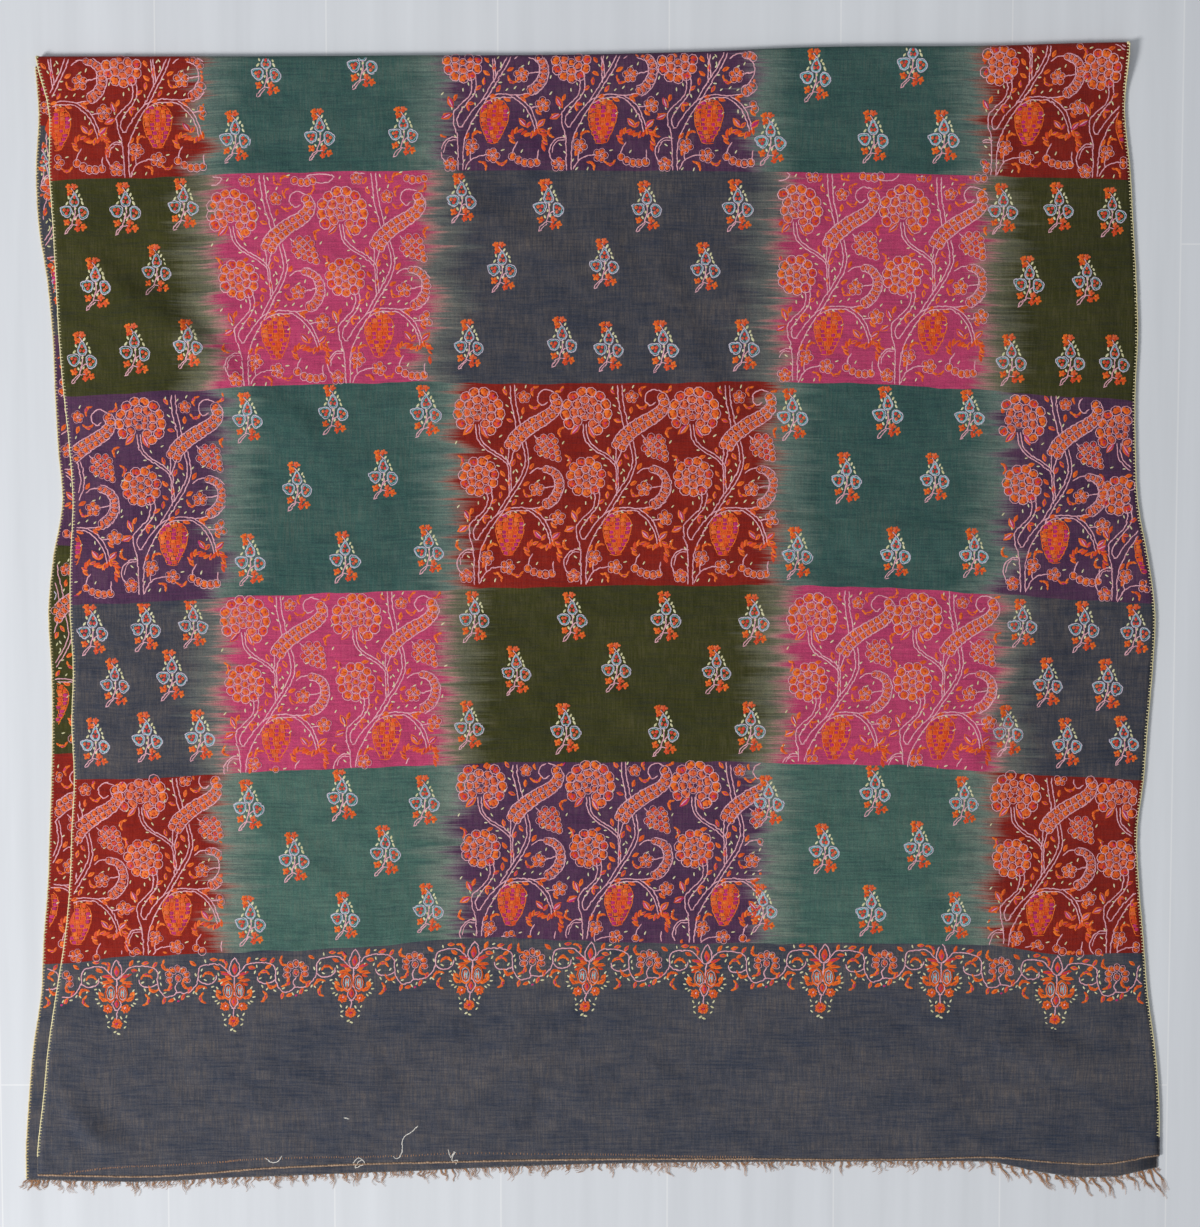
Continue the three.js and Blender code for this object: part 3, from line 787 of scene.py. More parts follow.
LONG_STITCH, FILLING, CELL_WALL, LEAF = range(4)
FORMS = [model_filling(6), model_filling(8, 1.12), model_cell_wall(), model_filling(8, 0.84)]
wrapped_stitch = model_wrapped_stitch()


# ---- charts ----

class Chart:
    """Stitches of one motif: form, thread, x, y, angle, length, width, height, level."""

    def __init__(self):
        self.rows = []

    def put(self, form, thread, x, y, angle, length, width, height=0.6, level=0.0):
        self.rows.append((form, thread, x, y, angle, length, width, height, level))

    def run(self, points, thread=ROSE, width=1.24, pitch=2.8, closed=False, offset=0.0):
        """A line of stitches."""
        places, ways, gap = spaced_places(smooth_path(points, closed), pitch)
        for (x, y), (dx, dy) in zip(places, ways):
            size = math.hypot(dx, dy) or 1.0
            self.put(LONG_STITCH, thread, x - dy / size * offset, y + dx / size * offset, math.atan2(dy, dx),
                     gap * 1.8, width)

    def double_run(self, points, apart):
        self.run(points, offset=apart / 2)
        self.run(points, offset=-apart / 2)

    def blob(self, x, y, angle, length, width, fill):
        """Uneven satin filling: three stitches side by side, with a deeper heart."""
        turn = angle + 0.5 * math.sin(5.3 * x + 3.1 * y)
        for k in (-1, 0, 1):
            uneven = 1 + 0.14 * math.sin(2.9 * x - 4.7 * y + 2.2 * k) - 0.14 * abs(k)
            aside = width * 0.29 * k
            self.put(FILLING, fill, x - math.sin(turn) * aside, y + math.cos(turn) * aside,
                     turn + 0.15 * k, length * uneven, width * 0.44, 0.8 + 0.08 * k)
        self.put(LONG_STITCH, FLAME if fill != FLAME else MAGENTA, x + 0.4, y - 0.3, turn + 0.9,
                 length * 0.42, width * 0.26, 0.3, 0.68)

    def cell(self, x, y, angle, length, width, fill, core=None):
        """A filled cell with a rose wall round it."""
        self.put(CELL_WALL, ROSE, x, y, angle, length * 0.95, width * 0.95)
        self.blob(x, y, angle, max(2.3, length * 0.95 - 1.7), max(2.2, width * 0.95 - 1.8), fill)
        if core is not None:
            self.put(LONG_STITCH, core, x, y, angle + 0.8, 1.9, 1.5, 0.4, 0.7)

    def ring(self, x, y, radius, count, deep, start, span=360.0, fills=(CORAL, ORANGE), lap=1.3):
        """Cells in a ring or in part of one."""
        steps = count if span >= 360 else count - 1
        wide = math.radians(span) * radius / steps + lap
        for k in range(count):
            angle = math.radians(start + span * k / steps)
            self.cell(x + radius * math.cos(angle), y + radius * math.sin(angle), angle, deep, wide,
                      fills[(k * 2 + count) % len(fills)])

    def small_flower(self, x, y, radius, start=90):
        self.ring(x, y, radius * 0.58, 5, radius, start)
        self.put(LONG_STITCH, ROSE, x, y, 0.6, 2, 1.6, 0.5, 0.3)

    def petal(self, x, y, angle, size, thread):
        """A ragged rosette of short stitches round their middle."""
        for k in range(5):
            turn = math.radians(angle + 72 * k) + 0.3 * math.sin(7 * x + 5 * k)
            out = size * (0.23 + 0.05 * math.sin(3 * y + 2 * k))
            self.put(LONG_STITCH, FLAME if k == 3 else thread, x + out * math.cos(turn),
                     y + out * math.sin(turn), turn, size * 0.64, size * 0.44, 0.7 + 0.05 * k)
        self.put(LONG_STITCH, CORAL if thread == FLAME else FLAME, x, y, math.radians(angle),
                 size * 0.36, size * 0.2, 0.3, 0.66)

    def leaflet(self, x, y, angle, length=8.2, width=4.2, thread=ORANGE, core=MAGENTA):
        turn = math.radians(angle)
        self.put(LEAF, thread, x, y, turn, length, width, 0.7)
        self.put(LEAF, thread, x, y, turn + 0.3, length * 0.8, width * 0.78, 0.75)
        if core is not None:
            self.put(LEAF, core, x, y, turn + 0.1, length * 0.5, width * 0.32, 0.3, 0.6)

    def comma(self, x, y, angle, bend=1, size=1.0):
        """A bent leaf of five stitches, thick in the middle, with a dark heart."""
        along = math.radians(angle)
        for k in (-2, -1, 0, 1, 2):
            turn = math.radians(angle + bend * 24 * k + 12 * math.sin(3 * x + k))
            step = 1.85 * k * size
            dip = bend * size * (0.55 * k * k - 0.9)
            self.put(LEAF, ORANGE, x + step * math.cos(along) - dip * math.sin(along),
                     y + step * math.sin(along) + dip * math.cos(along), turn, 4.6 * size,
                     (3.5 - 0.66 * abs(k)) * size, 0.75)
        dip = -bend * 0.9 * size
        self.put(LONG_STITCH, MAGENTA if int(x + y) % 2 else FLAME, x - dip * math.sin(along),
                 y + dip * math.cos(along), along, 4.0 * size, 1.2, 0.3, 0.62)

    def long_leaf(self, x, y, angle, length):
        """A leaf with an orange rim, a magenta blade and a pale vein."""
        turn = math.radians(angle)
        self.put(LEAF, ORANGE, x, y, turn, length, 6.6, 0.8)
        self.put(LEAF, MAGENTA, x, y, turn, length * 0.74, 3.3, 0.4, 0.5)
        self.put(LONG_STITCH, ROSE, x, y, turn, length * 0.6, 1.1, 0.35, 0.8)

    def seed(self, x, y, angle, length=4.3, width=1.5):
        self.put(LONG_STITCH, SEED, x, y, math.radians(angle), length, width)

    def two_row_leaf(self, points, width, count, taper, fills=(ORANGE, CORAL)):
        """A long leaf of two rows of cells, one row where it is narrow."""
        places, ways, gap = even_places(smooth_path(points), count)
        rims = {1: [], -1: []}
        for k, ((x, y), (dx, dy)) in enumerate(zip(places, ways)):
            angle = math.atan2(dy, dx)
            narrow = width * (1 - taper * (k / count) ** 2)
            for side, rim in rims.items():
                out = side * (narrow / 2 + 0.2)
                rim.append((x - math.sin(angle) * out, y + math.cos(angle) * out))
            if narrow < 9.3:
                self.cell(x, y, angle, gap + 1.3, narrow, fills[0])
                continue
            for side in (-1, 1):
                self.cell(x - math.sin(angle) * side * narrow / 4, y + math.cos(angle) * side * narrow / 4,
                          angle, gap + 1.2, narrow / 2 + 1.1, fills[(k + (side > 0)) % len(fills)])
        for rim in rims.values():
            self.run(rim, width=1.1)

    def along_stem(self, points, gap, side, first=0):
        """Leaflets and seeds by turns on both sides of a stem."""
        places, ways, _ = spaced_places(smooth_path(points), gap)
        for k, ((x, y), (dx, dy)) in enumerate(zip(places, ways)):
            way = math.atan2(dy, dx)
            hand = 1 if (k + first) % 2 else -1
            near = side + 0.9 * math.sin(3.1 * k + first)
            px, py = x - math.sin(way) * hand * near, y + math.cos(way) * hand * near
            turn = math.degrees(way) + hand * (38 + 17 * math.sin(2.3 * k + first))
            if (k * 5 + first) % 3 == 0:
                self.seed(px, py, turn)
            else:
                self.leaflet(px, py, turn, 8.2, 4.1, ORANGE, MAGENTA if k % 2 else FLAME)
            if k % 3:
                self.seed(x + math.sin(way) * hand * 3.6, y - math.cos(way) * hand * 3.6,
                          math.degrees(way) - hand * 40, 3.8)

    def table(self):
        return np.array(self.rows, float)


def flowering_tree():
    c = Chart()
    c.run([(-2.2, 0), (-2.2, 18), (-3.2, 34), (-6.2, 43)])
    c.run([(2.2, 0), (2.4, 18), (4.0, 30), (8.5, 41), (14, 51), (20, 60)])
    c.run([(-5.8, 43), (-6, 53), (0, 60), (8, 68), (10.5, 77), (9.5, 84)])
    c.run([(20.5, 65), (11, 55), (4.5, 46), (0.5, 40.5), (-2.5, 44), (-2, 50), (4, 59), (12, 69), (14.5, 78),
           (13, 88)])
    c.double_run([(20, 62), (31, 80), (40, 94), (45.5, 107), (45.5, 118), (43.5, 128)], 3.2)
    c.run([(30, 80), (29.5, 96), (28.5, 107), (20, 115), (9, 122), (1.5, 131), (-0.5, 144)])
    c.run([(32, 84), (31.2, 98), (30.5, 108), (23, 116), (12, 123), (4.5, 131), (2.5, 144)])
    c.run([(28.8, 108), (29.5, 118), (29.5, 127)])
    c.run([(30.5, 109), (33, 117), (35.5, 123)])
    # lower flower head, full round
    c.ring(2.4, 97, 14.0, 11, 8.6, 10, fills=(ORANGE, ORANGE, FLAME))
    c.ring(2.4, 97, 7.2, 6, 7.6, 33)
    c.cell(2.4, 97, 0.4, 7, 6.4, ORANGE)
    # upper flower head, open where its stem enters
    c.ring(3, 155, 19.0, 11, 8.8, -57, 268, fills=(ORANGE, FLAME, ORANGE))
    c.ring(3, 155, 11.4, 8, 7.9, -60, 280)
    c.ring(3, 155, 4.8, 5, 6.4, 30, 360, fills=(ORANGE, CORAL))
    # long curled leaf of two rows of cells, and its tip
    c.two_row_leaf([(31, 122), (35, 130), (42, 137), (53, 145), (63.5, 151), (71, 157.5), (73, 165),
                    (69, 171.5)], 13, 12,
                   taper=0.42)
    c.run([(70, 173.5), (63, 175.5), (57, 172), (56, 166), (60, 161.5), (64.5, 164)])
    # second stem up from the long leaf
    c.double_run([(38.5, 141), (37, 150), (34, 164), (33, 179)], 4.0)
    # lobed leaf of small cells
    c.run([(53, 134), (57, 130), (60, 128)])
    for row, (out, cells) in enumerate([(-9.5, 2), (-5, 4), (0, 4), (5, 3), (9.6, 2), (14, 1)]):
        for k in range(cells):
            side = (k - (cells - 1) / 2) * 5.4
            turn = math.radians(-50)
            c.cell(65 + out * math.cos(turn) - side * math.sin(turn),
                   124 + out * math.sin(turn) + side * math.cos(turn), turn, 6.3, 6.3,
                   (CORAL, FLAME, ORANGE)[(row + k) % 3])
    # right branch with the crescent leaf
    c.run([(19, 64), (28, 68), (38, 69.5), (50, 68.5), (62, 70)])
    c.run([(21, 61), (31, 66), (42, 66.5), (48, 66), (56, 60), (62, 52), (65.5, 43), (67, 36)])
    c.run([(50, 68), (58, 62.5), (64, 55), (68, 44), (69.5, 38)])
    c.two_row_leaf([(61, 71), (69, 76), (74.5, 85), (74.5, 95), (69, 102), (60, 104.5)], 8.6, 11,
                   fills=(CORAL, ORANGE), taper=0.4)
    c.run([(60, 105), (54, 104), (49, 100.5)])
    c.run([(71, 89), (66, 88), (60, 87)])
    c.small_flower(55, 86, 6.6)
    c.run([(62, 58), (67, 58.5), (70, 59)])
    c.small_flower(74, 60, 6.6, start=20)
    for x, y, angle in [(56, 44.5, -48), (72, 43.5, 42), (-8.5, 62, -65), (-12, 50, 28), (-6.8, 139.8, 47),
                        (7.8, 137.6, -62)]:
        c.long_leaf(x, y, angle, 14.5 if y > 130 else 12.5)
    # bow, and the little basket that hangs from it
    band = smooth_path([(47, 26), (45.5, 31), (48, 36.5), (54, 37), (58.5, 34.6), (63, 33.6), (68, 35.6),
                        (72, 38.4), (75, 34), (75.5, 28), (74, 21)])
    places, ways, _ = even_places(band, 15)
    for k, ((x, y), (dx, dy)) in enumerate(zip(places, ways)):
        turn = math.degrees(math.atan2(dy, dx)) + (58 if k % 2 else 28)
        c.leaflet(x, y, turn, 8.6, 3.7, (ORANGE, ORANGE, FLAME)[k % 3], (FLAME, MAGENTA, None)[k % 3])
    c.run([(51, 27), (48, 22), (46.5, 17)])
    c.run([(70, 20), (69.5, 15), (70, 9)])
    for k, (x, y) in enumerate([(46.5, 14.5), (52, 11), (57.5, 9), (63, 8.6), (68.5, 9.4)]):
        c.cell(x, y, math.radians(-24 + 12 * k), 7.2, 7.6, CORAL if k % 2 else ORANGE)
    # bunch hung from the branch
    c.run([(31, 66), (31, 62.5)])
    c.put(LEAF, FLAME, 31.2, 46, math.pi / 2, 36, 22, 0.25)
    halves = [8, 11, 12.2, 12.4, 12, 11.2, 10, 8.4, 6.4, 4.6]
    for row, half in enumerate(halves):
        y = 62 - 3.75 * row
        count = max(2, round(half * 2 / 4.8))
        middle, pitch = 31.3 - 0.25 * row, 2 * half / count
        for k in range(count):
            c.put(FILLING, (MAGENTA, FLAME, ORANGE, MAGENTA, FLAME, CORAL, MAGENTA)[(row * 3 + k * 2) % 7],
                  middle + (k + 0.5 - count / 2) * pitch, y, 0.15, pitch * 1.04, 3.8, 0.6)
        for k in range(1, count):
            c.put(LONG_STITCH, ORANGE, middle + (k - count / 2) * pitch, y, math.pi / 2 + 0.12, 3.9, 0.85,
                  0.3, 0.5)
        c.run([(middle - half, y - 1.5), (middle, y - 2.2), (middle + half, y - 1.6)], ORANGE, 0.85)
    c.run([(31.3 - 0.25 * row - half - 0.3, 62 - 3.75 * row) for row, half in enumerate(halves)], ORANGE, 1.1)
    c.run([(31.3 - 0.25 * row + half + 0.3, 62 - 3.75 * row) for row, half in enumerate(halves)], ORANGE, 1.1)
    c.run([(23.4, 63.4), (31, 64.6), (39.2, 63.4)], ORANGE, 1.1)
    # scrolls at the foot
    c.run([(-2.5, 31), (-9, 31), (-15, 26), (-17.5, 19), (-15.5, 12), (-11.5, 8.5)])
    c.run([(-4, 29), (-10, 28.5), (-13.5, 24), (-15, 18)], width=1.0)
    c.small_flower(-9, 7.5, 6.4)
    c.run([(3, 1), (8, 10), (15, 14.5), (24, 16)])
    c.run([(9, 11), (8.5, 15), (9.5, 20)])
    c.small_flower(10, 24, 6.4, start=60)
    c.small_flower(28.5, 15.5, 6.4, start=0)
    for x, y, angle, bend in [(-17, 35, -70, 1), (13.5, 35, 35, -1), (21, 7.5, -50, -1), (37, 8.5, 4, 1),
                              (46, 81, -30, 1), (-13, 112, -80, -1), (76, 138, 70, -1), (53, 160, 5, 1),
                              (52, 175, 62, -1), (77, 176, 52, 1)]:
        c.comma(x, y, angle, bend, size=1.05)
    c.small_flower(43.5, 169, 5.6)
    # leaflets and seeds along the stems
    c.along_stem([(0, 0), (0, 18), (-1, 36)], 8, 7.0)
    c.along_stem([(-6, 46), (-4, 57), (6, 66), (12, 80)], 7.0, 6.2, 1)
    c.along_stem([(4, 46), (16, 58), (28, 78), (42, 98), (46, 118)], 7.4, 6.4)
    c.along_stem([(31, 84), (30, 104), (20, 116), (6, 126)], 6.8, 6.2, 1)
    c.along_stem([(40, 140), (36, 156), (33, 178)], 7, 7.0)
    c.along_stem([(24, 68), (44, 70), (60, 70)], 8, 5.0)
    c.along_stem([(52, 66), (62, 56), (67, 40)], 7.5, 5.8, 1)
    for x, y, angle in [(13, 38, 65), (-17, 39, 20), (17, 3.5, 70), (38, 20, 15), (43, 53, 40), (62, 96, 70),
                        (56, 93.5, 30), (26, 177, 80), (45, 178, 65), (82, 150, 40), (24, 150, 60),
                        (-16, 70, 50), (59, 116, 30), (81, 84, 70), (84, 112, 20), (-18, 128, 60),
                        (22, 134, 35), (55, 19, 60)]:
        c.seed(x, y, angle)
    return c.table()


def strip_above_tree():
    """What fills the strip between the trees and the top of a high check."""
    c = Chart()
    c.double_run([(33, 178), (32.5, 188), (32, 198)], 4.0)
    c.run([(-27, 187), (-22, 182.5), (-14, 181), (-7, 182.5), (-4, 187), (-14, 189), (-22, 188.5)],
          closed=True)
    c.run([(4, 192), (14, 190), (24, 189.5)])
    c.small_flower(17, 185, 5.4)
    for k in range(4):
        c.cell(62 + 5.4 * k, 183.5 + 0.8 * (k - 1.5) ** 2, 0.2 * (k - 1.5), 6.6, 7.4, ORANGE)
    c.comma(45, 184, -50)
    c.comma(52, 188, 30, -1)
    c.leaflet(24, 183, 60)
    c.leaflet(41, 192, 100)
    for x, y, angle in [(27, 193, 70), (38, 187, 110), (57, 190, 20), (2, 186, 60), (-1, 192, 30)]:
        c.seed(x, y, angle)
    return c.table()


def flower_sprig(inner_width):
    c = Chart()
    for x, y, angle, thread in [(-5.4, 20.4, 120, ORANGE), (0.2, 20.6, 60, CORAL), (-4.4, 15.4, 20, ORANGE)]:
        c.petal(x, y, angle, 6.6, thread)
    c.run([(-2.6, 18.6), (0, 15)], ROSE, 1.1, 2.0)
    bud = [(0, 15), (-2.6, 11), (-4.2, 6.6), (-2.6, 3.2), (0, 2.3), (2.6, 3.2), (4.2, 6.6), (2.6, 11)]
    left = [(-13.4, 0.9), (-8.8, 2.8), (-3.8, 2), (-2.5, -1.2), (-3.8, -5.2), (-6.9, -7.4), (-10.4, -6),
            (-12.4, -3)]
    right = [(4.2, 0.4), (6, 2.1), (10, 1.4), (13.2, -2.6), (12, -7), (8, -9.4), (5, -7.8), (4, -3.6)]
    for heart in (bud, left, right):
        middle = np.mean(heart, axis=0)
        c.run(middle + (np.array(heart) - middle) * 0.78, AQUA, inner_width, 2.4, closed=True)
        c.run(heart, ICE, 1.15, 2.4, closed=True)
    for x, y, thread in [(0.1, 10.3, FLAME), (-1.8, 6.4, MAGENTA), (1.9, 6.2, FLAME), (-9.6, -0.9, CORAL),
                         (-6.2, -0.6, FLAME), (-7.4, -4.1, FLAME), (6.8, -1.2, FLAME), (9.9, -3.0, CORAL),
                         (7.4, -5.6, MAGENTA)]:
        c.put(FILLING, CORAL if thread == MAGENTA else thread, x, y, 0.9, 3.5, 3.1, 0.8)
        c.put(LONG_STITCH, MAGENTA if thread != CORAL else FLAME, x, y, 0.5, 1.5, 1.1, 0.4, 0.6)
    c.run([(0, 2.4), (0.4, -2), (0, -6.4), (-1.6, -11), (-2.6, -14.6)], ROSE, 1.3)
    c.run([(5, -4.4), (2.2, -6.2), (-0.6, -9)], ROSE, 1.2, 2.6)
    c.run([(-2.4, -14.4), (-6.2, -17.4), (-9.0, -21.0), (-8.2, -22.6), (-5.6, -19.6), (-2.0, -15.4)], ROSE,
          1.1)
    c.run([(-2, -14.2), (2.4, -14.8)], ROSE, 1.1, 2.2)
    c.petal(-7.6, -12.4, 150, 6.8, ORANGE)
    c.petal(3.8, -12.4, 60, 6.6, CORAL)
    c.petal(2.8, -18.2, 250, 6.2, FLAME)
    c.petal(8.4, -16.8, -20, 6.6, ORANGE)
    for x, y, angle, length in [(-5.6, 10.8, 110, 3.6), (-7.2, 5.6, 50, 4.2), (7.4, 5.4, 120, 4.2),
                                (4.6, 12.4, 65, 3.6), (0.6, 0.4, 70, 3), (-3.8, -9.8, 120, 3.4),
                                (1.2, -9.0, 60, 3.4), (2.2, 16.4, 60, 3.6), (-1.2, -4.6, 80, 2.8),
                                (6.4, 9.4, 120, 3)]:
        c.seed(x, y, angle, length * 1.12, 2.2)
    return c.table()


def pendant():
    """One pendant of the border, with its zero in its middle."""
    c = Chart()
    c.run([(0, 29.4), (-3.4, 24.5), (-4.9, 18.8), (-3.4, 14.2), (0, 12.4), (3.6, 14.2), (4.9, 18.8),
           (3.4, 24.5)],
          closed=True)
    c.put(LEAF, FLAME, 0, 19.4, math.pi / 2, 12, 6, 0.8)
    c.put(LEAF, MAGENTA, 0, 18.6, math.pi / 2, 5.4, 2.4, 0.4, 0.55)
    c.run([(0, 12.4), (0, 4), (0, -4.6)], width=1.5)
    for side in (-1, 1):
        for x, y, tilt, length, width, thread, core in [
            (8.2, 14.8, 14, 13.4, 3.6, FLAME, MAGENTA), (9.4, 9.0, -4, 13, 3.6, ORANGE, FLAME),
            (5.6, 11.4, 22, 8, 3.2, ORANGE, None), (13.8, -1.6, 48, 6.2, 3.0, ORANGE, None),
            (10.2, 5.4, -22, 6.6, 3.0, FLAME, None),
        ]:
            c.leaflet(side * x, y, tilt if side > 0 else 180 - tilt, length, width, thread, core)
        c.put(FILLING, CORAL, side * 5.4, -0.8, math.pi / 2, 11.4, 6.4, 0.3)
        for thread, long, wide, height in [(ORANGE, 15.8, 9.4, 0.9), (ORANGE, 14.6, 8.4, 0.85),
                                           (ICE, 12.6, 7.0, 0.8)]:
            c.put(CELL_WALL, thread, side * 5.4, -0.8, math.pi / 2, long, wide, height)
        for x, y, angle, length in [(-1.1, 0, 90, 7.2), (1.2, -0.4, 90, 7.8), (0, 0.4, 0, 3.4)]:
            c.put(LONG_STITCH, AQUA, side * 5.4 + x, y - 0.8, math.radians(angle), length, 1.15, 0.5, 0.3)
        c.comma(side * 12.2, -5.8, 90 - side * 62, side, size=1.3)
        for k in range(6):
            turn = math.radians(60 * k + 20)
            c.petal(side * 8.2 + 2.4 * math.cos(turn), -15.4 + 2.4 * math.sin(turn), math.degrees(turn), 4.4,
                    ORANGE)
        c.put(LONG_STITCH, ROSE, side * 7.6, -14.8, 0.9, 2.6, 1.6, 0.5, 0.8)
        for x, y, angle in [(9.4, -22.8, 60), (7.8, -27.6, -30), (7.6, -32.6, 40), (15.4, 1.8, 50),
                            (17.6, -1.6, 30), (18.6, -6.6, 10), (16.6, -10.4, -20), (14.0, -12.6, -40),
                            (4.0, -24.0, 120)]:
            c.seed(side * x, y, angle if side > 0 else 180 - angle, 3.8, 1.7)
    c.run([(0, -4.6), (-3.8, -11), (0, -17.2), (3.8, -11)], closed=True)
    c.put(LEAF, FLAME, 0, -11, math.pi / 2, 9.6, 5.6, 0.8)
    c.put(LONG_STITCH, MAGENTA, 0, -11, math.pi / 2, 4.2, 1.8, 0.4, 0.7)
    c.run([(0, -17.2), (-0.3, -25)], pitch=2)
    for k in range(7):
        turn = math.radians(360 / 7 * k)
        c.petal(2.8 * math.cos(turn), -29.4 + 2.8 * math.sin(turn), math.degrees(turn), 4.8,
                (ORANGE, CORAL)[k % 2])
    c.put(LONG_STITCH, MAGENTA, 0.3, -29.2, 0.3, 3.4, 1.8, 0.5, 0.7)
    c.seed(-1.8, -37.0, 30, 4.2, 2.2)
    c.seed(1.4, -38.4, -20, 4.2, 2.2)
    return c.table()


def vine():
    """The scroll between two pendants, from the zero of the left one to 106.5 mm on."""
    c = Chart()
    c.run([(1.4, 12.6), (7.6, 18.5), (11.7, 22.7), (20.1, 23.8), (30.2, 22.7), (36.6, 18.5), (37.2, 10.1),
           (37.8, 4.2), (41.1, -2.5), (45.3, -5.4), (52, -3.7), (54.5, -1.7), (63.8, -1.7), (70.5, 3.4),
           (73.8, 10.1), (74.2, 16.8), (77.2, 22.7), (87.2, 24.3), (94, 23.5), (99, 19.3), (105, 12.6)])
    c.run([(37.2, 6.7), (31.9, 4.2), (26, 4.2), (21.8, 6.7), (20.6, 10.6)], width=1.3)
    c.run([(74.2, 10.1), (78.9, 6.4), (85.6, 6.4), (89.8, 9.6), (90.6, 13.6)], width=1.3)
    # open flower in the dip of the scroll
    c.ring(55.6, 12.2, 8.3, 7, 7.4, -14, 208, fills=(ORANGE, CORAL, ORANGE), lap=0.9)
    c.cell(55.6, 12.0, math.pi / 2, 7.8, 6.4, CORAL, core=MAGENTA)
    c.run([(54.5, -1.7), (53.2, 3.4), (55.4, 7.6)], width=1.3)
    c.comma(47.6, 3.6, 60, size=1.15)
    c.comma(61.6, 5.2, 120, -1, size=1.15)
    for x, y, angle, bend in [(27.0, 14.6, 180, 1), (83.4, 15.4, 180, 1), (27.4, -8.4, 78, 1),
                              (76.8, -7.4, 100, -1), (98.2, 25.4, 128, 1), (43.4, 22.6, 118, -1),
                              (33.0, 1.0, -20, 1), (75.6, 2.4, 24, -1)]:
        c.comma(x, y, angle, bend, size=1.1)
    for x, y, angle in [(13.4, 26.4, 62), (16.0, 19.4, -8), (26.6, 26.4, 12), (34.8, 24.6, 50),
                        (69.6, 25.2, -38), (88.0, 28.4, 0), (91.0, 20.8, 150), (42.8, -8.6, 70),
                        (49.6, -8.6, 20), (60.2, -5.6, 60), (31.0, 19.0, 30), (66.2, 0.8, 60)]:
        c.leaflet(x, y, angle, 8.2, 4.0, ORANGE, (MAGENTA, FLAME)[int(x) % 2])
    for x, y, angle in [(18.6, 15.0, 60), (20.4, 20.4, 100), (23.6, 8.8, 30), (25.4, 1.4, 120),
                        (29.6, -1.6, 60), (36.6, -3.4, -40), (33.4, 9.0, 60), (39.6, 12.4, 80),
                        (40.2, 6.6, 110), (38.8, 17.0, 60), (44.0, -1.6, 20), (52.6, -7.6, 120),
                        (57.0, -5.6, 60), (64.4, -5.2, 10), (69.6, -1.6, 60), (72.0, 14.6, 110),
                        (76.6, 13.4, 70), (77.4, 18.8, 60), (80.4, 9.8, -30), (87.0, 3.4, 20),
                        (88.4, 10.6, 60), (93.4, 10.0, 150), (92.6, 14.6, 110), (95.0, 6.8, 40),
                        (72.4, -2.4, 130), (79.6, 1.8, 50), (10.4, 15.2, 60), (20.2, 27.8, 20),
                        (80.6, 27.2, 100), (59.0, 20.6, 20)]:
        c.seed(x, y, angle, 3.9, 1.7)
    c.put(FILLING, MAGENTA, 55.6, -9.4, 0.4, 2.8, 2.0, 0.6)
    return c.table()


# ---- sewing ----

class Needlework:
    """Stitches gathered for one piece."""

    def __init__(self, surface):
        self.surface = surface
        self.points, self.faces, self.uv, self.shade, self.slots = [], [], [], [], []
        self.count = 0

    def gather(self, points, triangles, uv, shade, slots):
        n, p = points.shape[:2]
        self.points.append(points.reshape(-1, 3))
        self.uv.append(uv.reshape(-1, 2))
        self.faces.append((triangles[None] + (np.arange(n) * p)[:, None, None] + self.count).reshape(-1, 3))
        self.shade.append(np.repeat(shade, p))
        self.slots.append(np.repeat(slots, len(triangles)))
        self.count += n * p

    def sew(self, chart, x, y, lean=0.0, scale=1.0, keep=None):
        """Sew a chart at a place. `keep` says which stitches are inside their check."""
        rows = chart.copy()
        count = len(rows)
        rows[:, 2] = x + (rows[:, 2] + lean * rows[:, 3] / LEAN_HEIGHT) * scale + rng.normal(0, 0.22, count)
        rows[:, 3] = y + rows[:, 3] * scale + rng.normal(0, 0.22, count)
        rows[:, 4] += rng.normal(0, 0.07, count)
        rows[:, 5:7] *= scale * rng.normal(1, 0.05, (count, 1))
        if keep is not None:
            rows = rows[keep(rows[:, 2], rows[:, 3])]
        for form, (template, triangles) in enumerate(FORMS):
            part = rows[rows[:, 0] == form]
            if not len(part):
                continue
            local_x = template[None, :, 0] * part[:, 5, None] / 2
            local_y = template[None, :, 1] * part[:, 6, None] / 2
            cos, sin = np.cos(part[:, 4, None]), np.sin(part[:, 4, None])
            px = part[:, 2, None] + local_x * cos - local_y * sin
            py = part[:, 3, None] + local_x * sin + local_y * cos
            pz = self.surface(px, py) - 0.07 + part[:, 8, None] + template[None, :, 2] * part[:, 7, None]
            slide = rng.uniform(0, 40, (len(part), 1))
            self.gather(np.stack([px, py, pz], axis=-1), triangles,
                        np.stack([local_x + slide, local_y], axis=-1), rng.uniform(0, 1, len(part)),
                        part[:, 1].astype(int))

    def wrap(self, origins, along, side, up, slot=0):
        """Closed stitches at places, each with its own long way, side and thickness."""
        template, triangles = wrapped_stitch
        ways = np.stack([along, side, up], axis=1)
        points = origins[:, None] + np.einsum("pk,nkj->npj", template, ways)
        long = np.linalg.norm(along, axis=1)[:, None]
        uv = np.stack([template[None, :, 0] * long,
                       np.broadcast_to(template[None, :, 1], (len(origins), len(template)))],
                      axis=-1)
        self.gather(points, triangles, uv, rng.uniform(0, 1, len(origins)),
                    np.broadcast_to(slot, len(origins)))

    def finish(self, name, materials):
        slots = np.concatenate(self.slots)
        used = np.unique(slots)
        renumbered = np.searchsorted(used, slots)
        return build_mesh(name, np.concatenate(self.points), np.concatenate(self.faces),
                          uv=np.concatenate(self.uv), attributes={"shade": np.concatenate(self.shade)},
                          slots=renumbered, materials=[materials[k] for k in used])


def inside_selvedges(x, y):
    return (x > upper_left(y) + SELVEDGE_ROOM) & (x < upper_right(y) - SELVEDGE_ROOM)


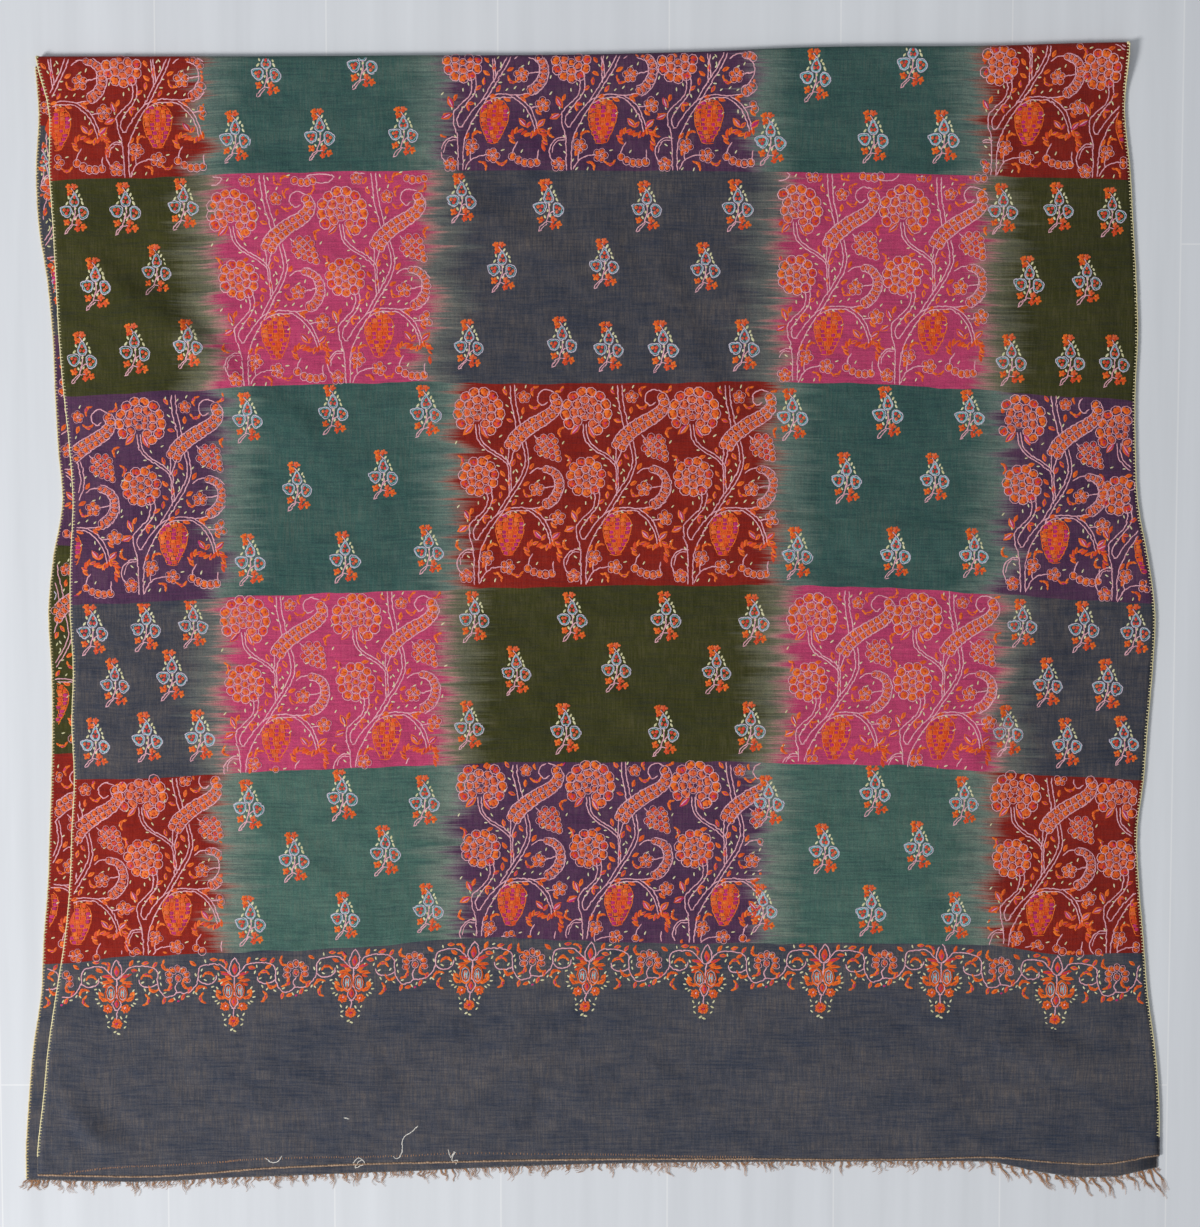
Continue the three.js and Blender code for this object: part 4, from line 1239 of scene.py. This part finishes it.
def inside_check(row, left=None, right=None):
    """Keep what lies in one row of checks and between two column lines, clear of the selvedges."""
    def keep(x, y):
        low = weft_line(row, x) + 1.5
        high = (weft_line(row + 1, x) if row < 5 else fold_line(x) - 1.2) - 1.5
        inside = (y > low) & (y < high) & inside_selvedges(x, y)
        if left is not None:
            inside &= x > left
        if right is not None:
            inside &= x < right
        return inside
    return keep


# trunk foot x, y and lean, for each row of checks from the end up
TREES = {
    1: [(-508, -330, -5), (-416, -321, -5), (-111, -312, 0), (-14, -312, 2), (84, -312, 0), (371, -321, 5),
        (465, -322, 8)],
    2: [(-325, -161, 0), (-225, -159, 1), (182, -159, 8), (277, -159, 8)],
    3: [(-513, 9, -2), (-416, 18, -2), (-112, 27, 0), (-15, 27, 0), (82, 27, 0), (384, 20, -7), (467, 10, 1)],
    4: [(-318, 204, -15), (-227, 206, -7), (176, 208, -2), (268, 208, 3)],
    5: [(-515, 390, -9), (-424, 392, -9), (-125, 396, 0), (-28, 396, 0), (67, 396, 0), (353, 394, 2),
        (444, 390, 3)],
}
SPRIGS = {
    1: [(-320, -175), (-235, -166), (-160, -171), (-279, -223), (-196, -217), (-320, -282), (-233, -277),
        (-157, -270), (154, -171), (251, -162), (332, -171), (205, -215), (291, -212), (149, -270),
        (248, -272), (326, -277)],
    2: [(-461, -15), (-412, -12), (-369, -9), (-441, -63), (-389, -56), (-460, -118), (-412, -113),
        (-364, -111), (-114, -3), (-25, -3), (60, -3), (140, -6), (-76, -52), (15, -49), (106, -51),
        (-119, -102), (-31, -105), (58, -107), (137, -104), (384, -9), (440, -12), (487, -15), (408, -63),
        (462, -65), (372, -107), (426, -118), (478, -116)],
    3: [(-318, 177), (-241, 184), (-157, 183), (-274, 115), (-196, 126), (-317, 49), (-231, 51), (-155, 58),
        (174, 180), (260, 182), (334, 180), (223, 123), (303, 123), (179, 55), (268, 55), (339, 55)],
    4: [(-472, 364), (-426, 364), (-374, 368), (-453, 297), (-399, 310), (-467, 231), (-419, 238),
        (-370, 243), (-124, 373), (-46, 367), (42, 366), (124, 367), (-88, 312), (4, 315), (95, 312),
        (-118, 243), (-34, 245), (8, 241), (57, 241), (130, 242), (362, 364), (412, 365), (460, 361),
        (386, 299), (438, 301), (371, 229), (424, 229), (464, 228)],
    5: [(-298, 485), (-212, 492), (-327, 428), (-251, 430), (-176, 432), (193, 482), (279, 494), (245, 428),
        (308, 428), (153, 426)],
}
# middle x, y and lean of each pendant
PENDANTS = [(-443.7, -348.1, 1.6), (-335.7, -345.6, 4.9), (-226.5, -337.7, 13.6), (-117.5, -330.3, 14.6),
            (-10.8, -331.3, 15.9), (96.5, -333.8, 9.8), (204.3, -332.5, 10.8), (312.4, -332.5, 3.3),
            (418.5, -344.1, 4.2)]


def tree_bounds(row, x):
    """The column lines on both sides of a tree."""
    lines = COLUMN_LINES[row - 1]
    foot = x + 32
    left = max([line for line in lines if line < foot], default=None)
    right = min([line for line in lines if line > foot], default=None)
    return left, right


def sew_trees(row):
    work = Needlework(upper_top)
    for x, y, lean in TREES[row]:
        keep = inside_check(row, *tree_bounds(row, x))
        work.sew(tree_chart, x, y, lean, keep=keep)
        if row == 4:
            work.sew(strip_chart, x, y, lean, keep=keep)
    return work.finish(f"tree_embroidery_{row}", silks)


def sew_sprigs(row):
    work = Needlework(upper_top)
    for x, y in SPRIGS[row]:
        chart = aqua_sprig if x > 130 and row in (1, 3, 5) or y < -110 and row == 2 else ice_sprig
        work.sew(chart, x, y, rng.normal(0, 3), 0.99 + 0.03 * math.sin(x + y), inside_check(row))
    return work.finish(f"sprig_embroidery_{row}", silks)


def sew_border():
    work = Needlework(upper_top)

    def keep(x, y):
        return inside_selvedges(x, y) & (y < weft_line(1, x) - 1)

    ends = [(PENDANTS[0][0] - PENDANT_STEP, PENDANTS[0][1] - 6, 0), *PENDANTS,
            (PENDANTS[-1][0] + PENDANT_STEP, PENDANTS[-1][1] - 3, 0)]
    for (x, y, lean), (next_x, next_y, _) in zip(ends[:-1], ends[1:]):
        stretch = vine_chart.copy()
        stretch[:, 3] += (next_y - y) * stretch[:, 2] / PENDANT_STEP
        stretch[:, 2] *= (next_x - x) / PENDANT_STEP
        work.sew(stretch, x, y, keep=keep)
        if x > upper_left(y):
            work.sew(pendant_chart, x, y, lean, keep=keep)
    return work.finish("border_embroidery", silks)


def sew_under_margin():
    """What shows of the embroidery of the lower layer, beside the upper one."""
    work = Needlework(under_top)

    def keep(x, y):
        return (x > lower_left(y) + 5) & (x < upper_left(y) + 4) & (y < 485)

    for x, y, lean in [(-536, 62, 0), (-540, -318, 0), (-524, 439, 0), (-528, -129, 0), (-532, 252, 0)]:
        work.sew(tree_chart, x, y, lean, keep=keep)
    for x, y in [(-508, 20), (-512, -60), (-498, 300), (-500, 400)]:
        work.sew(ice_sprig, x, y, keep=keep)
    work.sew(vine_chart, -535, -350, keep=keep)
    return work.finish("under_margin_embroidery", silks)


tree_chart = flowering_tree()
strip_chart = strip_above_tree()
ice_sprig = flower_sprig(0.8)
aqua_sprig = flower_sprig(1.3)
pendant_chart = pendant()
vine_chart = vine()

embroidery = [sew_trees(row) for row in range(1, 6)] + [sew_sprigs(row) for row in range(1, 6)]
embroidery.append(sew_border())
under_embroidery = sew_under_margin()


# ---- stitched selvedges ----

def edging(name, path, away, outward, materials, thread=True, bare_below=-600.0, pitch=2.9):
    """Blanket stitch: a thread along the edge, and stitches over it into the cloth."""
    work = Needlework(None)
    far = lengths_along(path)
    count = int(far[-1] / pitch)
    at = (np.arange(count) + 0.5) * far[-1] / count
    places, up = places_along(path, far, at), places_along(outward, far, at)
    places[:, 2] = np.maximum(places[:, 2], LOWEST_STITCH)
    up /= np.linalg.norm(up, axis=1)[:, None]
    tangent = ways_along(path, far, at, 1)
    away = np.broadcast_to(away, places.shape)
    bare = places[:, 1] < bare_below
    wander = rng.normal(0, 0.1, (count, 1))
    edge_slot = np.where(bare | (not thread), 1, 0)
    places[:, 2] += np.abs(tangent[:, 2]) * pitch * 0.7
    work.wrap(places + away * (wander + 0.1), tangent * pitch * 0.68, away * 0.66, up * 0.7, edge_slot)
    reach = 2 + 0.9 * rng.random((count, 1))
    slant = 0.14 * rng.normal(0, 1, (count, 1))
    ticks = (places + away * 0.3 - away * (reach - 0.7) / 2, (away + tangent * slant) * (reach + 0.7) / 2,
             tangent * 0.56, up * 0.8)
    work.wrap(*(values[~bare] for values in ticks))
    return work.finish(name, materials)


LEFT, RIGHT = np.array([-1.0, 0, 0]), np.array([1.0, 0, 0])
upper_core = upper_points - HALF_WALL * upper_outward
under_core = under_points - [0, 0, HALF_WALL]
flat_up = np.tile([0.0, 0.0, 1.0], (len(under_core), 1))
upper_threads, under_threads = [edging_silk, slate_wool], [under_edging_silk, slate_wool]
upper_left_edging = edging("upper_left_blanket_stitch", upper_core[:, 0], LEFT, upper_outward[:, 0],
                           upper_threads, bare_below=-501)
upper_right_edging = edging("upper_right_blanket_stitch", upper_core[:, -1], RIGHT, upper_outward[:, -1],
                            upper_threads, bare_below=-483)
under_left_edging = edging("under_left_blanket_stitch", under_core[:, 0], LEFT, flat_up, under_threads)
under_right_edging = edging("under_right_blanket_stitch", under_core[:, -1], RIGHT, flat_up, under_threads,
                            thread=False, bare_below=-470, pitch=4.6)


# ---- rolled hems ----

def hem(name, path, thickness, ridged):
    """The end turned into a thin roll, with slanting stitches over it."""
    work = Needlework(None)
    far = lengths_along(path)
    count = int(far[-1] / HEM_STITCH)
    at = (np.arange(count) + 0.5) * far[-1] / count
    middle = places_along(path, far, at)
    tangent = ways_along(path, far, at, 1.5)
    away = np.cross(tangent, [0, 0, 1.0])
    up = np.tile([0.0, 0.0, 1.0], (count, 1))
    swell = 1 + 0.1 * np.sin(at / 17)[:, None] + rng.normal(0, 0.06, (count, 1))
    raise_it = up * np.maximum(0, thickness * swell + 2.1 * np.abs(tangent[:, 2:]) - middle[:, 2:])
    work.wrap(middle + raise_it + away * 0.1, tangent * 2.1, away * 0.95 * swell, up * thickness * swell)
    if ridged:
        work.wrap(middle - away * 0.2 + up * 0.16, away * 1.1 + tangent * 0.6, tangent * 0.34,
                  up * thickness, 1)
        wide = np.interp(middle[:, :1], [-60, 240], [0.62, 0.3])
        work.wrap(middle + away * (rng.normal(0, 0.15, (count, 1)) - 0.3) + up * (thickness + 0.05),
                  tangent * 1.75, away * (wide + 0.3 * rng.random((count, 1))), up * 0.38, 2)
    return work.finish(name, [slate_wool, fringe_wool, hem_wool])


upper_hem = hem("upper_rolled_hem", upper_core[0], 0.74, True)
under_hem = hem("under_rolled_hem", under_core[0], 0.6, False)


# ---- fringe of frayed warp ends ----

def hairs(name, locks, material):
    """Fine wavy ends. Each lock: root x, y, heading, length, number of hairs, spread."""
    data = bpy.data.curves.new(name, "CURVE")
    data.dimensions = "3D"
    data.bevel_depth = 0.24 * MM
    data.bevel_resolution = 0
    data.use_fill_caps = True
    for x, y, heading, length, number, spread in locks:
        sway, phase = rng.uniform(0.8, 2.1), rng.uniform(0, 6)
        for _ in range(number):
            root = x + rng.normal(0, spread)
            own = heading + rng.normal(0, 0.05 + 0.07 * (spread > 1))
            reach = length * rng.uniform(0.6, 1.08)
            own_phase = phase + rng.normal(0, 0.2)
            drift = rng.normal(0, 0.05)
            share = np.linspace(0, 1, 8)
            forward = np.array([own, -1.0]) / math.hypot(own, 1)
            sideways = np.array([-forward[1], forward[0]])
            wander = sway * (np.sin(own_phase + share * 7.4) - math.sin(own_phase)) * (0.3 + share)
            wander += drift * reach * share ** 2
            gather = (x - root) * 0.75 * np.minimum(1, share * 3) * (spread <= 1)
            px = root + gather + forward[0] * reach * share + sideways[0] * wander
            py = y + forward[1] * reach * share + sideways[1] * wander
            pz = 0.62 + 0.35 * rng.random() * np.sin(share * math.pi) + 0.1 * share
            spline = data.splines.new("POLY")
            spline.points.add(7)
            places = (np.stack([px, py, pz], axis=-1) + MIDDLE) * MM
            spline.points.foreach_set("co", np.column_stack([places, np.ones(8)]).ravel())
            spline.points.foreach_set("radius", 1.25 - 0.75 * share)
    obj = bpy.data.objects.new(name, data)
    bpy.context.collection.objects.link(obj)
    data.materials.append(material)
    pick_only(obj)
    bpy.ops.object.convert(target="MESH")
    obj = bpy.context.object
    obj.data.uv_layers.new(name="cloth_map")
    obj.data.attributes.new("shade", "FLOAT", "POINT")
    obj.data.attributes["shade"].data.foreach_set(
        "value", np.repeat(rng.random(len(obj.data.vertices) // 32 + 1), 32)[: len(obj.data.vertices)])
    obj.data.shade_smooth()
    return obj


def fringe_root(x):
    return lower_end(x) + FRINGE_ROOM


short_locks = [(x, fringe_root(x), 0.1 + rng.normal(0, 0.4), 5 + 9 * rng.random() ** 2, 4, 1.6)
               for x in np.arange(-526, 345, 5.2)]
long_locks = [(x, fringe_root(x), 0.72 + rng.normal(0, 0.16), rng.uniform(16, 25), 6, 0.6)
              for x in np.arange(357, 508, 10.8)]
long_locks += [(x, fringe_root(x), 0.5 + rng.normal(0, 0.4), rng.uniform(4, 9), 3, 1.4)
               for x in np.arange(352, 514, 6.2)]
long_locks += [(x, fringe_root(x), 0.62, length, 7, 0.8) for x, length in ((500, 26), (507, 31), (511, 27))]
corner_locks = [(x, fringe_root(x), rng.normal(-0.7, 0.5), rng.uniform(8, 15), 6, 1.2)
                for x in (-528, -525, -522, -518)]
short_fringe = hairs("short_fringe_ends", short_locks + corner_locks, fringe_wool)
long_fringe = hairs("long_fringe_locks", long_locks, fringe_wool)


# ---- loose basting threads on the end band ----

# the row of small overcast stitches above the end of the upper layer
TICK_LINE = [(-495, -518), (-462, -513), (-434, -511), (-397, -509.5), (-353, -507), (-328, -504.5),
             (-277, -502.5), (-232, -502), (-185, -501), (-129, -498.5), (-60, -499), (0, -499.5),
             (46, -500.5), (92, -501.5), (140, -502)]
COTTON, TAN_WOOL = 0, 1


def basting():
    work = Chart()
    for path in [[(-308, -503), (-304, -506.4), (-299, -506.8), (-295.6, -504.6), (-293.6, -501.4)],
                 [(-228, -507), (-222, -503), (-217.4, -508), (-226, -512), (-222.5, -506), (-219, -505)],
                 [(-190.5, -501.5), (-187.8, -503.4), (-184.2, -500.7), (-182.1, -495.2), (-182.3, -488.4),
                  (-180.7, -483), (-173.4, -477.6), (-168, -472.2)],
                 [(-140, -495), (-138, -502), (-134, -497), (-136.5, -505), (-131.4, -505), (-133, -508.4)],
                 [(-236, -464.6), (-231, -465.6)]]:
        work.run(path, COTTON, 0.85, 1.9)
    for x, y in smooth_path(TICK_LINE, steps=20):
        work.put(LONG_STITCH, TAN_WOOL, x, y, math.pi / 2, 2.6, 0.8, 0.4)
    sewn = Needlework(upper_top)
    sewn.sew(work.table(), 0, 0)
    return sewn.finish("basting_threads", [basting_cotton, fringe_wool])


basting_threads = basting()


# ---- what each piece stands for ----

for piece, node, slot in [
    (upper_cloth, "upper_layer", "upper_cloth"), (under_cloth, "lower_layer", "under_cloth"),
    (upper_left_edging, "upper_left_edging", "edging_silk"),
    (upper_right_edging, "upper_right_edging", "edging_silk"),
    (under_left_edging, "lower_left_edging", "edging_silk"),
    (under_right_edging, "lower_right_edging", "edging_silk"), (upper_hem, "upper_hem", "hem_wool"),
    (under_hem, "lower_hem", "hem_wool"), (short_fringe, "short_fringe", "fringe_wool"),
    (long_fringe, "long_fringe", "fringe_wool"),
]:
    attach(piece, "root")
    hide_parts(node)
for piece in embroidery + [basting_threads]:
    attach(piece, "root")
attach(under_embroidery, "root")


# ---- floor, light and camera ----

def pale_floor():
    bpy.ops.object.select_all(action="DESELECT")
    bpy.ops.mesh.primitive_plane_add(size=8)
    floor = bpy.context.object
    floor.name = "floor"
    material, w, shader = new_material("pale_floor", 0.7)
    place = w.node("ShaderNodeTexCoord").outputs["Object"]
    turned = w.node("ShaderNodeMapping")
    turned.inputs["Rotation"].default_value = (0, 0, math.pi / 2)
    turned.inputs["Location"].default_value = (0.35, 0.546, 0)
    w.feed(turned.inputs["Vector"], place)
    planks = w.node("ShaderNodeTexBrick", offset=0.37)
    w.feed(planks.inputs["Vector"], turned.outputs[0])
    for key, value in [("Color1", (0.725, 0.75, 0.795, 1)), ("Color2", (0.745, 0.77, 0.81, 1)),
                       ("Mortar", (0.83, 0.845, 0.87, 1)), ("Scale", 1.0), ("Mortar Size", 0.0008),
                       ("Mortar Smooth", 0.4), ("Brick Width", 1.22), ("Row Height", 0.1537)]:
        planks.inputs[key].default_value = value
    grain = w.stretched_noise(place, (42, 2.2, 1), 4)
    tone = w.spread(grain, 0.3, 0.7, 0.955, 1.045)
    w.feed(shader.inputs["Base Color"], w.blend(1.0, planks.outputs["Color"], tone, "MULTIPLY"))
    floor.data.materials.append(material)


def studio():
    world = bpy.data.worlds.new("studio")
    world.use_nodes = True
    background = world.node_tree.nodes["Background"]
    background.inputs["Color"].default_value = (0.93, 0.96, 1.0, 1)
    background.inputs["Strength"].default_value = 0.37
    bpy.context.scene.world = world
    light = bpy.data.lights.new("window", "AREA")
    light.shape = "RECTANGLE"
    light.size, light.size_y = 1.5, 1.1
    light.energy = 190
    light.color = (1.0, 0.985, 0.96)
    window = bpy.data.objects.new("window", light)
    bpy.context.collection.objects.link(window)
    window.location = (-3.5, -1.5, 2.9)
    aim = np.array([0.2, 0.7, 0.0]) - np.array(window.location)
    tilt = math.atan2(math.hypot(aim[0], aim[1]), -aim[2])
    turn = math.atan2(aim[1], aim[0]) - math.pi / 2
    window.rotation_euler = (tilt, 0, turn)


def camera():
    data = bpy.data.cameras.new("camera")
    data.sensor_fit = "VERTICAL"
    data.sensor_height = 36
    data.lens = 58
    obj = bpy.data.objects.new("camera", data)
    bpy.context.collection.objects.link(obj)
    obj.location = (np.array([0, 98.0, 1796.2]) + MIDDLE) * MM
    obj.rotation_euler = (math.radians(-3.123), 0, 0)
    bpy.context.scene.camera = obj


pale_floor()
studio()
camera()
bpy.context.scene.view_settings.view_transform = "Standard"
